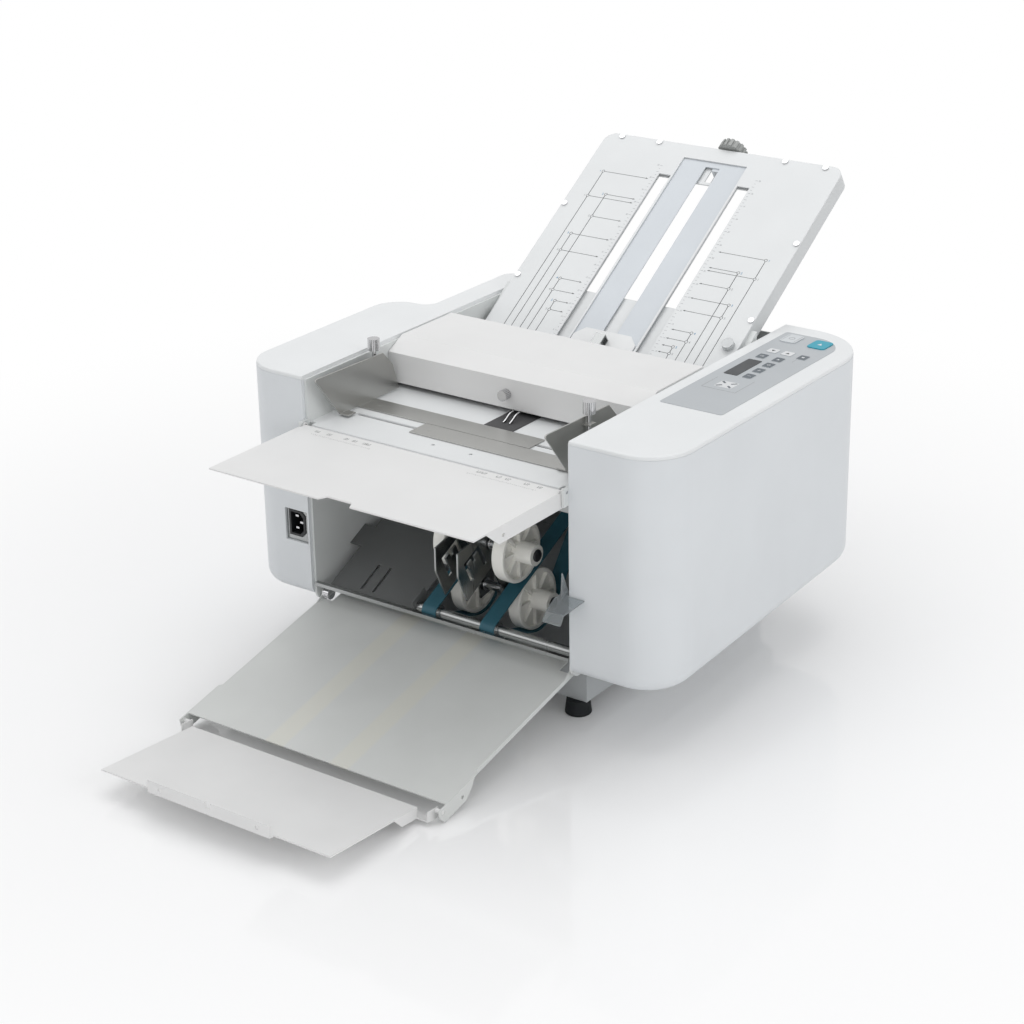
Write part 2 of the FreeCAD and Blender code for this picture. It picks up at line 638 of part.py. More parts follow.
def make_lids_and_controls():
    """Top covers, control film with its raised keys, display and two push buttons."""
    top = s.housing_top
    right = make_lid("right_lid", right_plan)
    wells = button_outlines(s.rest_gap)
    for well in wells:
        cut(right, "XY", top - s.button_well, top + s.overrun, [well])
    place(right, "right_lid")
    place(make_lid("left_lid", left_plan), "left_lid")

    film = new_body("control_film")
    left, front = s.film_left, s.film_front
    right_edge, back = left + s.film_width, front + s.film_depth
    shape = [(left, front, s.film_round), (right_edge, front, s.film_round),
             (right_edge, back, s.film_back_round), (left, back, s.film_round)]
    pad(film, "XY", top, top + s.film_height, [shape])
    for well in wells:
        cut(film, "XY", top - s.overrun, top + s.film_height + s.overrun, [well])
    keys = [(s.key_row_across, s.key_row_back + s.key_pitch * step) for step in range(4)]
    keys += [(s.mode_across, s.mode_back), (s.reset_across, s.reset_back)]
    raised = [centred_box(across, along_, s.key_width, s.key_depth, s.key_round)
              for across, along_ in keys]
    for across in (s.arrow_left, s.arrow_right):
        raised.append(centred_box(across, s.arrow_back + s.key_round, s.arrow_side,
                                  s.arrow_side, s.key_round))
    pad(film, "XY", top + s.film_height / 2, top + s.film_height + s.key_lift, raised)
    place(film, "control_film")

    display = new_body("display_window")
    window = centred_box(s.display_across, s.display_back, s.display_width,
                         s.display_depth, s.key_round)
    pad(display, "XY", top + s.film_height, top + s.film_height + s.display_lift, [window])
    place(display, "display_window")

    crown = top + s.film_height + s.button_lift
    for label, outline in zip(("stop_button", "start_button"), button_outlines(0)):
        button = new_body(label)
        pad(button, "XY", crown - s.button_body, crown, [outline])
        place(button, label)


def make_feed_table():
    """Fixed table: slots for the guide rivets, notches for the flap knuckles."""
    table = new_body("feed_table")
    top, low = s.table_height, s.table_height - s.table_sheet
    notch_left = frame_inner - s.table_notch
    back = s.table_depth
    plan = [(-notch_left, 0), (notch_left, 0), (notch_left, s.table_notch),
            (frame_inner, s.table_notch), (frame_inner, back), (-frame_inner, back),
            (-frame_inner, s.table_notch), (-notch_left, s.table_notch)]
    pad(table, "XY", low, top, [plan])
    lip = box_outline(-notch_left, notch_left, low - s.table_lip, low)
    pad(table, "XZ", 0 + s.overrun, s.table_sheet + s.overrun, [lip])
    slots = [box_outline(-s.slot_half_length, s.slot_half_length,
                         middle - s.slot_height / 2, middle + s.slot_height / 2)
             for middle in (s.front_slot_back, s.rear_slot_back)]
    left, right = -s.table_hole_left, s.table_hole_right
    holes = [(left, s.table_hole_back, s.table_hole_radius),
             (right, s.table_hole_back, s.table_hole_radius)]
    cut(table, "XY", low - s.overrun, top + s.overrun, slots, holes)
    place(table, "feed_table")

    pad_body = new_body("separator_pad")
    outline = box_outline(s.pad_across - s.pad_width / 2, s.pad_across + s.pad_width / 2,
                          s.pad_front, s.pad_front + s.pad_depth)
    pad(pad_body, "XY", top, top + s.pad_sheet, [outline])
    pieces = [place(pad_body, None)]
    for offset in (-s.wire_reach * QUARTER, s.wire_reach * QUARTER):
        wire = new_body("Wire")
        foot = s.table_height + s.pad_sheet
        start = s.pad_front + s.pad_depth * THIRD
        radius = s.wire_radius * 2
        slope = [(start, foot), (start + radius, foot),
                 (start + s.wire_reach + radius, foot + s.wire_rise),
                 (start + s.wire_reach, foot + s.wire_rise)]
        centre = s.pad_across + offset
        pad(wire, "YZ", centre - s.wire_radius, centre + s.wire_radius, [slope])
        pieces.append(place(wire, None))
    group("separator", pieces)


def make_flap():
    """Fold-up front table with bent side flanges and a thumb notch."""
    flap = new_body("feed_flap")
    half, front, rear = s.flap_half, -s.flap_reach, -s.flap_gap
    top, low = s.table_height, s.table_height - s.flap_sheet
    inner = half - s.flange_sheet - s.rest_gap
    clip = rear - s.flap_notch_corner
    notch_left = s.flap_notch_across - s.flap_notch_half
    notch_right = s.flap_notch_across + s.flap_notch_half
    depth, slant = s.flap_notch_depth, s.flap_notch_depth / 2
    plan = [(-half, front), (notch_left, front), (notch_left + slant, front + depth),
            (notch_right - slant, front + depth), (notch_right, front), (half, front),
            (half, clip), (inner, clip), (inner, rear), (-inner, rear), (-inner, clip),
            (-half, clip)]
    pad(flap, "XY", low, top, [plan])
    back, height = flap_pin
    side = [(-(s.flange_start + s.flange_slope), low), (-s.flange_start, top - s.flange_drop),
            (back, top - s.flange_drop), (back, low)]
    pin_hole = [(back, height, s.pin_radius + s.running_gap)]
    vent = [(-s.flange_start + s.knuckle_radius * 2, height - s.flange_drop / 2,
             s.flange_hole_radius)]
    for start in (half - s.flange_sheet, -half):
        pad(flap, "YZ", start, start + s.flange_sheet, [side])
        pad(flap, "YZ", start, start + s.flange_sheet,
            circles=[(back, height, s.knuckle_radius)])
        cut(flap, "YZ", start - s.rest_gap, start + s.flange_sheet + s.rest_gap,
            circles=pin_hole + vent)
    place(flap, "feed_flap")


# Outline of a side guide as shares of its length and height, from the nose up.
GUIDE_SHARES = [(0.0, 1.0), (0.82, 0.94), (0.93, 0.6), (1.0, 0.0), (0.28, 0.0)]


def make_guide(label, side, across, strip_back, strip_length, lock_back):
    """A bent steel guide on a flat strip whose rivets run in a table slot."""
    half = s.guide_sheet / 2
    inward = -side
    bottom = s.table_height + s.guide_bottom_gap
    plate = new_body("Guide")
    outline = [(-s.guide_nose + s.guide_length * back, bottom + s.guide_height * high)
               for back, high in GUIDE_SHARES]
    outline[0] = outline[0] + (s.rivet_radius,)
    pad(plate, "YZ", across - half, across + half, [outline])
    foot_front = -s.guide_nose + s.guide_length * GUIDE_SHARES[-1][0]
    inner = across + inward * s.guide_foot
    left, right = (across - half, inner) if side < 0 else (inner, across + half)
    pad(plate, "XY", bottom, bottom + s.guide_sheet,
        [box_outline(left, right, foot_front, foot_front + s.guide_foot_width)])
    lug_top = bottom + s.guide_height
    outer = across + side * (s.lock_outboard + s.lock_stem_radius * 2)
    left, right = (outer, across + half) if side < 0 else (across - half, outer)
    lug = box_outline(left, right, lock_back - s.tab_width / 2, lock_back + s.tab_width / 2)
    lock_across = across + side * s.lock_outboard
    lug_low = lug_top - s.guide_height * FIFTH
    pad(plate, "XY", lug_low, lug_low + s.tab_sheet, [lug])
    cut(plate, "XY", lug_low - s.rest_gap, lug_low + s.tab_sheet + s.rest_gap,
        circles=[(lock_across, lock_back, s.lock_stem_radius + s.running_gap)])
    place(plate, None)

    strip = new_body("Strip")
    end = across + inward * strip_length
    left, right = (across - half, end) if side < 0 else (end, across + half)
    top = s.table_height + s.strip_sheet
    strip_outline = box_outline(left, right, strip_back - s.strip_width / 2,
                                strip_back + s.strip_width / 2)
    pad(strip, "XY", s.table_height + s.rest_gap, top, [strip_outline])
    far = end - inward * s.rivet_inset
    near = across + inward * s.rivet_inset
    rivets = [(spot, strip_back, s.rivet_radius) for spot in (near, far)]
    pad(strip, "XY", s.table_height - s.table_sheet - s.overrun,
        top + s.rivet_crown, circles=rivets)
    web = box_outline(across - half, across + half, strip_back - s.strip_width / 2,
                      strip_back + s.strip_width / 2)
    pad(strip, "XY", top, bottom, [web])
    place(strip, None)
    group(label, [plate, strip])

    lock_label = label.replace("guide", "lock_screw")
    lock = new_body(lock_label)
    head_low = lug_top + s.lock_lift
    knurled(lock, "XY", head_low, head_low + s.lock_height, s.lock_radius, s.knurl_depth)
    pad(lock, "XY", s.table_height + s.strip_sheet + s.rest_gap, head_low + s.lock_lift,
        circles=[(0, 0, s.lock_stem_radius)])
    place(lock, lock_label, back=lock_back, across=lock_across)


def cover_profile(inset):
    """Side outline of the hinged cover, drawn in by its sheet."""
    top = s.housing_top - inset
    crease = s.housing_top - s.cover_crease_drop - inset / 2
    front = s.cover_crease_back + inset
    back = s.cover_back - inset
    low_front = s.cover_lip if inset == 0 else s.cover_lip - s.overrun
    low_back = s.housing_top - s.cover_rear_drop
    low_back = low_back if inset == 0 else low_back - s.overrun * 2
    return [(back, top), (s.cover_break + inset * QUARTER, top), (front, crease),
            (front, low_front), (back, low_back)]


def make_cover():
    """Hinged sheet cover, open below, with notches over the feed shaft."""
    cover = new_body("top_cover")
    pad(cover, "YZ", -s.cover_half, s.cover_half, [cover_profile(0)])
    inner = s.cover_half - s.cover_sheet
    cut(cover, "YZ", -inner, inner, [cover_profile(s.cover_sheet)])
    notch = box_outline(s.cover_notch_front, s.cover_notch_front + s.cover_notch_depth,
                        s.cover_lip - s.overrun, s.cover_notch_top)
    cut(cover, "YZ", -s.cover_half - s.overrun, s.cover_half + s.overrun, [notch],
        [(*cover_pin, s.pin_radius + s.running_gap)])
    screw_height = s.housing_top - s.cover_screw_drop
    cut(cover, "XZ", s.cover_crease_back - s.overrun,
        s.cover_crease_back + s.cover_sheet + s.overrun,
        circles=[(s.cover_screw_across, screw_height, s.cover_screw_neck + s.running_gap)])
    place(cover, "top_cover")

    screw = new_body("cover_screw")
    face = s.cover_crease_back - s.rest_gap
    knurled(screw, "XZ", -s.cover_screw_length, Size(0, "0"), s.cover_screw_radius,
            s.knurl_depth)
    pad(screw, "XZ", -s.overrun, s.cover_screw_length, circles=[(0, 0, s.cover_screw_neck)])
    place(screw, "cover_screw", back=face, height=screw_height,
          across=s.cover_screw_across)


def make_hinge_pins():
    """Pins fixed in the side frames: flap, top cover and delivery tray."""
    pins = []
    tray_pin_end = s.tray_half - s.tray_step - s.tray_ear_sheet - s.overrun
    for back, height, radius, inner in (
            (*flap_pin, s.pin_radius, s.flap_half - s.flange_sheet),
            (*cover_pin, s.pin_radius, s.cover_half - s.cover_sheet - s.overrun),
            (*tray_pin, s.tray_pin_radius, tray_pin_end)):
        for side in (-1, 1):
            body = new_body("Pin")
            start = inner if side > 0 else -s.gap_half
            end = s.gap_half if side > 0 else -inner
            pad(body, "YZ", start, end, circles=[(back, height, radius)])
            pins.append(place(body, None))
    group("hinge_pins", pins)


def on_plate(body, label):
    """Put a piece that is drawn along the fold plate's slope in the machine."""
    return place(body, label, back=plate_foot[0], height=plate_foot[1], tilt=s.plate_tilt)


def plate_edge(inset):
    half, length = s.plate_half - inset, s.plate_length - inset
    rounding = s.plate_round - inset
    return [(-half, inset), (half, inset), (half, length, rounding),
            (-half, length, rounding)]


def side_slots(grow, low):
    inner = s.side_slot_inner - grow
    outer = s.side_slot_inner + s.side_slot_width + grow
    high = s.plate_length - s.side_slot_top
    return [box_outline(inner, outer, low, high), box_outline(-outer, -inner, low, high)]


def make_fold_plate():
    """Sloping fold plate: face sheet, wall frame and back sheet."""
    sheet, length = s.plate_sheet, s.plate_length
    face = new_body("fold_plate_face")
    window = box_outline(-s.window_half, s.window_half, s.plate_slot_foot,
                         length - s.window_top)
    pad(face, "XY", -sheet, Size(0, "0"), [plate_edge(0)])
    cut(face, "XY", -sheet - s.overrun, s.overrun,
        side_slots(0, s.plate_slot_foot) + [window])
    screws = [(side * across, length - s.screw_edge)
              for side in (-1, 1) for across in (s.screw_outer_across, s.screw_inner_across)]
    screws += [(side * s.side_screw_across, length - down)
               for side in (-1, 1) for down in (s.side_screw_upper, s.side_screw_lower)]
    shank_holes = [(*spot, s.screw_shank_radius) for spot in screws]
    latch_hole = [(s.latch_across, length - s.latch_from_top,
                   s.latch_shank + s.running_gap)]
    cut(face, "XY", -sheet - s.overrun, s.overrun, circles=shank_holes + latch_hole)
    on_plate(face, "fold_plate_face")

    rim = new_body("fold_plate_rim")
    low = -s.plate_depth
    pad(rim, "XY", low, -sheet, [plate_edge(0), plate_edge(s.plate_wall)])
    cut(rim, "XY", -sheet - s.screw_shank, -sheet + s.overrun, circles=shank_holes)
    rod_hole = [(s.wheel_across, -s.wheel_drop, s.screw_rod_radius + s.running_gap)]
    cut(rim, "XZ", length - s.plate_wall - s.overrun, length + s.overrun, circles=rod_hole)
    on_plate(rim, "fold_plate_rim")

    back = new_body("fold_plate_back")
    edge = plate_edge(s.plate_wall)
    nut_side = s.nut_half + s.overrun
    nut_low = length - s.screw_reach - s.overrun
    nut_room = box_outline(s.wheel_across - nut_side, s.wheel_across + nut_side, nut_low,
                           length)
    slot_low = s.plate_slot_foot + s.back_slot_rise
    middle = box_outline(-s.back_slot_half, s.back_slot_half, slot_low,
                         nut_low - s.overrun * 2)
    drop = -s.back_sheet_drop
    pad(back, "XY", drop - sheet, drop, [edge])
    cut(back, "XY", drop - sheet - s.overrun, drop + s.overrun,
        side_slots(s.overrun, slot_low) + [middle, nut_room], latch_hole)
    on_plate(back, "fold_plate_back")

    heads = []
    for spot in screws:
        body = new_body("Screw")
        pad(body, "XY", Size(0, "0"), s.screw_head_height,
            circles=[(*spot, s.screw_head_radius)])
        pad(body, "XY", -sheet - s.screw_shank, Size(0, "0"),
            circles=[(*spot, s.screw_shank_radius)])
        heads.append(on_plate(body, None))
    group("plate_screws", heads)

    latch = new_body("plate_latch")
    knurled(latch, "XY", s.rest_gap, s.latch_height, s.latch_radius, s.knurl_depth)
    pad(latch, "XY", -s.back_sheet_drop - sheet - s.overrun, s.overrun,
        circles=[(0, 0, s.latch_shank)])
    slide = (length - s.latch_from_top)
    place(latch, "plate_latch", back=plate_foot[0] + slide * cosine(s.plate_tilt),
          height=plate_foot[1] + slide * sine(s.plate_tilt), tilt=s.plate_tilt,
          across=s.latch_across)


def make_fold_stop():
    """Adjustable rail, its wheel and screw, and the paper stop with its clip."""
    length = s.plate_length
    rail = new_body("stop_rail")
    high, low = -s.rail_drop, -s.rail_drop - s.rail_sheet
    outline = box_outline(-s.rail_half + s.rest_gap, s.rail_half - s.rest_gap, s.rail_foot,
                          length - s.rail_top)
    slot = box_outline(-s.rail_slot_half, s.rail_slot_half, s.plate_slot_foot,
                       length - s.rail_slot_top)
    pad(rail, "XY", low, high, [outline, slot])
    nut_end = length - s.nut_from_top
    nut = box_outline(s.wheel_across - s.nut_half, s.wheel_across + s.nut_half,
                      nut_end - s.nut_length, nut_end)
    pad(rail, "XY", low - s.nut_height, low, [nut])
    cut(rail, "XZ", nut_end - s.nut_length - s.overrun, nut_end + s.overrun,
        circles=[(s.wheel_across, -s.wheel_drop, s.screw_rod_radius + s.running_gap)])
    on_plate(rail, "stop_rail")

    stop = new_body("fold_stop")
    head = length - s.stop_from_top
    foot = head - s.stop_length
    half, slant = s.stop_half, s.stop_chamfer
    shape = [(-half, foot), (half, foot), (half, head - slant), (half - slant, head),
             (slant - half, head), (-half, head - slant)]
    base = -s.rail_drop + s.rest_gap
    pad(stop, "XY", base, base + s.stop_sheet, [shape])
    stem = box_outline(-s.stem_half, s.stem_half, foot + slant / 2, head - slant)
    pad(stop, "XY", -s.back_sheet_drop + s.rest_gap, base, [stem])
    on_plate(stop, "fold_stop")

    clip = new_body("stop_clip")
    floor = base + s.stop_sheet
    near, far = head - s.clip_length * 2, head - s.clip_length
    wall = s.clip_sheet
    loop = [(near, floor), (far + wall, floor), (far + wall, floor + s.clip_height),
            (near - wall * 2, floor + s.clip_height),
            (near - wall * 2, floor + s.clip_height - wall), (far, floor + s.clip_height - wall),
            (far, floor + wall), (near, floor + wall)]
    pad(clip, "YZ", -s.clip_half, s.clip_half, [loop])
    on_plate(clip, "stop_clip")

    wheel = new_body("adjust_wheel")
    start = length + s.wheel_gap
    pad(wheel, "XZ", Size(0, "0"), s.wheel_thickness, circles=[(0, 0, s.wheel_radius)])
    rib = s.wheel_rib_depth
    groove = box_outline(-rib, rib, s.wheel_radius - rib, s.wheel_radius + rib)
    feature = cut(wheel, "XZ", Size(0, "0") - s.overrun, s.wheel_thickness + s.overrun,
                  [groove])
    repeat_around(wheel, feature, "Y", WHEEL_RIBS)
    pad(wheel, "XZ", -(s.wheel_gap + s.screw_reach), Size(0, "0"),
        circles=[(0, 0, s.screw_rod_radius)])
    place(wheel, "adjust_wheel",
          back=plate_foot[0] + start * cosine(s.plate_tilt) + s.wheel_drop * sine(s.plate_tilt),
          height=plate_foot[1] + start * sine(s.plate_tilt) - s.wheel_drop * cosine(s.plate_tilt),
          tilt=s.plate_tilt, across=s.wheel_across)


WHEEL_RIBS = 16


def make_plate_supports():
    """Triangular steel plates that carry the fold plate between the frames."""
    plates = []
    back = s.support_back
    run = (back - plate_foot[0]) / cosine(s.plate_tilt)
    spot = along(along(plate_foot, run, s.plate_tilt), -s.plate_depth, s.plate_tilt + 90)
    high = (spot[0], spot[1] + s.plate_depth * (1 - QUARTER))
    triangle = [high, (high[0] + s.support_length, high[1] + s.support_height),
                (high[0] + s.support_length, high[1] - s.support_drop),
                (high[0], high[1] - s.support_drop)]
    for side in (-1, 1):
        body = new_body("Support")
        start = s.plate_half if side > 0 else -frame_inner
        end = frame_inner if side > 0 else -s.plate_half
        pad(body, "YZ", start, end, [triangle])
        plates.append(place(body, None))
    group("plate_supports", plates)


def involute(angle):
    return math.tan(angle) - angle


def gear_wire(teeth, pitch_radius, first_tooth, centre, across):
    """Involute gear outline in the YZ plane, one tooth centred at an angle in radians."""
    pressure = math.radians(SIZES["pressure_angle"])
    module = 2 * pitch_radius / teeth
    base = pitch_radius * math.cos(pressure)
    outer = pitch_radius + module * SIZES["tooth_top"]
    root = pitch_radius - module * SIZES["tooth_root"]
    start = max(base, root)
    half = math.pi * SIZES["tooth_thickness"] / teeth
    radii = [start + (outer - start) * share for share in FLANK_SHARES]
    flank = []
    for radius in radii:
        swing = half + involute(pressure) - involute(math.acos(min(1, base / radius)))
        flank.append((radius, swing))
    points = []
    for tooth in range(teeth):
        middle = first_tooth + 2 * math.pi * tooth / teeth
        rising = [(root, -flank[0][1])] + [(radius, -swing) for radius, swing in flank]
        falling = [(radius, swing) for radius, swing in reversed(flank)] + [(root, flank[0][1])]
        for radius, swing in rising + falling:
            angle = middle + swing
            points.append(Vector(across, centre[0] + radius * math.cos(angle),
                                 centre[1] + radius * math.sin(angle)))
    return Part.makePolygon(points + points[:1])


FLANK_SHARES = [0.0, 0.25, 0.5, 0.75, 1.0]


def make_gear(teeth, pitch_radius, first_tooth, centre, bore):
    """A toothed wheel with its bore, as a solid along X."""
    across, width = value(s.gear_side), value(s.gear_width)
    middle = (value(centre[0]), value(centre[1]))
    face = Part.Face(gear_wire(teeth, pitch_radius, first_tooth, middle, across))
    solid = face.extrude(Vector(width, 0, 0))
    hole = Part.makeCylinder(bore, width, Vector(across, *middle), Vector(1, 0, 0))
    feature = doc.addObject("Part::Feature", "Gear")
    feature.Shape = solid.cut(hole)
    return place(feature, None)


def meshed_tooth(teeth, first_tooth, direction, other_teeth):
    """Angle of a tooth of the second gear, so that it meshes with the first."""
    pitch = 2 * math.pi / teeth
    other_pitch = 2 * math.pi / other_teeth
    ahead = ((direction - first_tooth) / pitch) % 1
    return direction + math.pi - other_pitch * (0.5 - ahead)


def direction_between(first, second):
    return math.atan2(value(second[1]) - value(first[1]), value(second[0]) - value(first[0]))


def make_roller(centre, radius, half, pulleys, end):
    """A turned roller: rubber-faced barrel, journals and belt pulleys in one piece."""
    body = new_body("Roller")
    pad(body, "YZ", -half, half, circles=[(*centre, radius)])
    pad(body, "YZ", -s.journal_end, end, circles=[(*centre, s.journal_radius)])
    for start in pulleys:
        pad(body, "YZ", start, start + s.belt_pulley_width,
            circles=[(*centre, s.belt_pulley_radius)])
    return place(body, None)


def make_rollers():
    """Three fold rollers with meshing gears, and the feed roller."""
    pitch = value(roller_reach)
    teeth = SIZES["gear_teeth"]
    bore = value(s.journal_radius)
    to_upper = direction_between(middle_roller, upper_roller)
    to_lower = direction_between(middle_roller, lower_roller)
    middle_tooth = to_upper
    upper_tooth = meshed_tooth(teeth, middle_tooth, to_upper, teeth)
    lower_tooth = meshed_tooth(teeth, middle_tooth, to_lower, teeth)
    low_end = s.belt_side + s.belt_pulley_width + s.overrun
    long_end = s.feed_belt_side + s.belt_pulley_width + s.overrun
    for label, centre, tooth, pulleys, end in (
            ("fold_roller_upper", upper_roller, upper_tooth, [s.feed_belt_side], long_end),
            ("fold_roller_middle", middle_roller, middle_tooth, [s.belt_side], low_end),
            ("fold_roller_lower", lower_roller, lower_tooth, [s.feed_belt_side], long_end)):
        roller = make_roller(centre, s.roller_radius, s.roller_half, pulleys, end)
        group(label, [roller, make_gear(teeth, pitch, tooth, centre, bore)])
    feed = make_roller(feed_shaft, s.journal_radius + s.running_gap, s.roller_half,
                       [s.feed_belt_side], long_end)
    tyre = new_body("Tyre")
    ring = [(*feed_shaft, s.feed_radius), (*feed_shaft, s.journal_radius + s.running_gap)]
    pad(tyre, "YZ", s.pad_across - s.feed_half, s.pad_across + s.feed_half, circles=ring)
    group("feed_roller", [feed, place(tyre, None)])
    return lower_tooth


def make_wheel(centre, across, hub_long):
    """A white corrugating wheel: rim, web, hub and moulded ribs."""
    body = new_body("Wheel")
    half, rim = s.disc_width / 2, s.disc_rim
    bore = s.exit_shaft_radius
    radius, hub = s.disc_radius, s.disc_hub_radius
    web = s.disc_web / 2
    outline = [(-half, radius), (half, radius, rim * THIRD), (half, radius - rim),
               (web, radius - rim), (web, hub), (half + hub_long, hub),
               (half + hub_long, bore), (-half, bore), (-half, hub), (-web, hub),
               (-web, radius - rim), (-half, radius - rim)]
    turned(body, "XY", outline, "H_Axis")
    inner, outer, depth = hub - rim * THIRD, radius - rim + rim * THIRD, half * (1 - FIFTH)
    rib = box_outline(inner, outer, -s.disc_rib / 2, s.disc_rib / 2)
    feature = pad(body, "YZ", -depth, depth, [rib])
    repeat_around(body, feature, "X", SIZES["disc_ribs"])
    return place(body, None, back=centre[0], height=centre[1], across=across)


def make_exit_drive(lower_tooth):
    """Exit wheels above and below the sloping belts, and the belts' own shafts."""
    bore = value(s.exit_shaft_radius)
    end = s.right_belt_across + s.disc_width / 2 + s.disc_hub_long + s.overrun
    for label, wheels, centre in (("exit_shaft_upper", "exit_wheels_upper", exit_upper),
                                  ("exit_shaft_lower", "exit_wheels_lower", exit_lower)):
        shaft = new_body("Shaft")
        pad(shaft, "YZ", -s.exit_shaft_left, end, circles=[(*centre, s.exit_shaft_radius)])
        place(shaft, label)
        group(wheels, [make_wheel(centre, s.right_belt_across, s.disc_hub_long),
                       make_wheel(centre, s.left_belt_across, s.disc_hub_short)])

    conveyor_teeth = SIZES["conveyor_teeth"]
    direction = direction_between(lower_roller, conveyor_rear)
    conveyor_tooth = meshed_tooth(SIZES["gear_teeth"], lower_tooth, direction, conveyor_teeth)
    gear = make_gear(conveyor_teeth, value(roller_reach * conveyor_share), conveyor_tooth,
                     conveyor_rear, bore)
    for label, centre, parts in (("conveyor_shaft_front", conveyor_front, []),
                                 ("conveyor_shaft_rear", conveyor_rear, [gear])):
        shaft = new_body("Shaft")
        start = -s.journal_end if parts else s.rest_gap - s.chute_right
        end = s.gear_side + s.gear_width + s.overrun if parts else s.gap_half
        pad(shaft, "YZ", start, end, circles=[(*centre, s.exit_shaft_radius)])
        for across in (s.left_belt_across, s.right_belt_across):
            half = s.conveyor_belt_width / 2
            pad(shaft, "YZ", across - half, across + half,
                circles=[(*centre, s.conveyor_pulley_radius)])
        group(label, [place(shaft, None)] + parts)


def belt_face(circles, growth, across):
    """Area inside a belt round circles in the YZ plane, listed anticlockwise."""
    spots = [Vector(across, value(centre[0]), value(centre[1])) for centre, _ in circles]
    radii = [value(radius) + growth for _, radius in circles]
    following = list(range(1, len(circles))) + [0]
    leaving = []
    for index, ahead in enumerate(following):
        step = spots[ahead] - spots[index]
        lean = math.asin((radii[ahead] - radii[index]) / step.Length)
        leaving.append(math.atan2(step.z, step.y) - lean - math.pi / 2)

    def touch(index, angle):
        radius = radii[index]
        return spots[index] + Vector(0, radius * math.cos(angle), radius * math.sin(angle))

    edges = []
    for index, ahead in enumerate(following):
        leave, arrive = leaving[index], leaving[index - 1]
        middle = arrive + (leave - arrive) % (2 * math.pi) / 2
        bend = Part.Arc(touch(index, arrive), touch(index, middle), touch(index, leave))
        edges.append(bend.toShape())
        edges.append(Part.makeLine(touch(index, leave), touch(ahead, leave)))
    return Part.Face(Part.Wire(edges))


def make_belt(circles, across, width, sheet):
    """A closed flat belt that stands off its pulleys by a hair."""
    start, air, skin = value(across), value(s.belt_air), value(sheet)
    outside = belt_face(circles, air + skin, start)
    inside = belt_face(circles, air, start)
    feature = doc.addObject("Part::Feature", "Belt")
    feature.Shape = outside.cut(inside).extrude(Vector(value(width), 0, 0))
    return place(feature, None)


def make_belts():
    drive = (s.flat_belt_width, s.flat_belt_sheet)
    inset = (s.belt_pulley_width - s.flat_belt_width) / 2
    pulley = s.belt_pulley_radius
    motor_run = [(middle_roller, pulley), (motor_shaft, s.motor_pulley_radius)]
    feed_run = [(upper_roller, pulley), (feed_shaft, pulley)]
    group("drive_belts", [make_belt(motor_run, s.belt_side + inset, *drive),
                          make_belt(feed_run, s.feed_belt_side + inset, *drive)])
    radius = s.conveyor_pulley_radius
    wheel = s.disc_radius - s.belt_air * THIRD
    run = [(conveyor_front, radius), (exit_lower, wheel), (conveyor_rear, radius)]
    group("conveyor_belts", [
        make_belt(run, across - s.conveyor_belt_width / 2, s.conveyor_belt_width,
                  s.conveyor_belt_sheet)
        for across in (s.left_belt_across, s.right_belt_across)])


def make_motor():
    """Main motor on the inner face of the right frame, its shaft through the frame."""
    motor = new_body("main_motor")
    pad(motor, "YZ", frame_inner - s.motor_length, frame_inner,
        circles=[(*motor_shaft, s.motor_radius)])
    bore = [(*motor_shaft, s.motor_shaft_radius + s.running_gap)]
    cut(motor, "YZ", frame_inner - s.motor_length / 2, frame_inner + s.overrun, circles=bore)
    place(motor, "main_motor")
    shaft = new_body("motor_shaft")
    pulley_end = s.belt_side + s.belt_pulley_width
    pad(shaft, "YZ", frame_inner - s.motor_length / 2 + s.rest_gap, pulley_end + s.overrun,
        circles=[(*motor_shaft, s.motor_shaft_radius)])
    pad(shaft, "YZ", s.belt_side, pulley_end, circles=[(*motor_shaft, s.motor_pulley_radius)])
    place(shaft, "motor_shaft")


# E-shaped opening of a wheel bracket: shares of its side along and below the belts' slope.
E_SHARES = [(0.0, 0.0), (1.0, 0.0), (1.0, 0.93), (0.83, 0.93), (0.83, 0.17), (0.58, 0.17),
            (0.58, 0.37), (0.42, 0.37), (0.42, 0.17), (0.17, 0.17), (0.17, 0.93), (0.0, 0.93)]
# Outline of a wheel bracket, as shares of its depth and height.
BRACKET_SHARES = [(0.0, 0.391), (0.0, 0.558), (0.406, 0.615), (0.406, 1.0), (0.624, 1.0),
                  (0.683, 0.564), (1.0, 0.167), (1.0, 0.026), (0.762, 0.0),
                  (0.733, 0.154), (0.584, 0.333), (0.149, 0.179)]


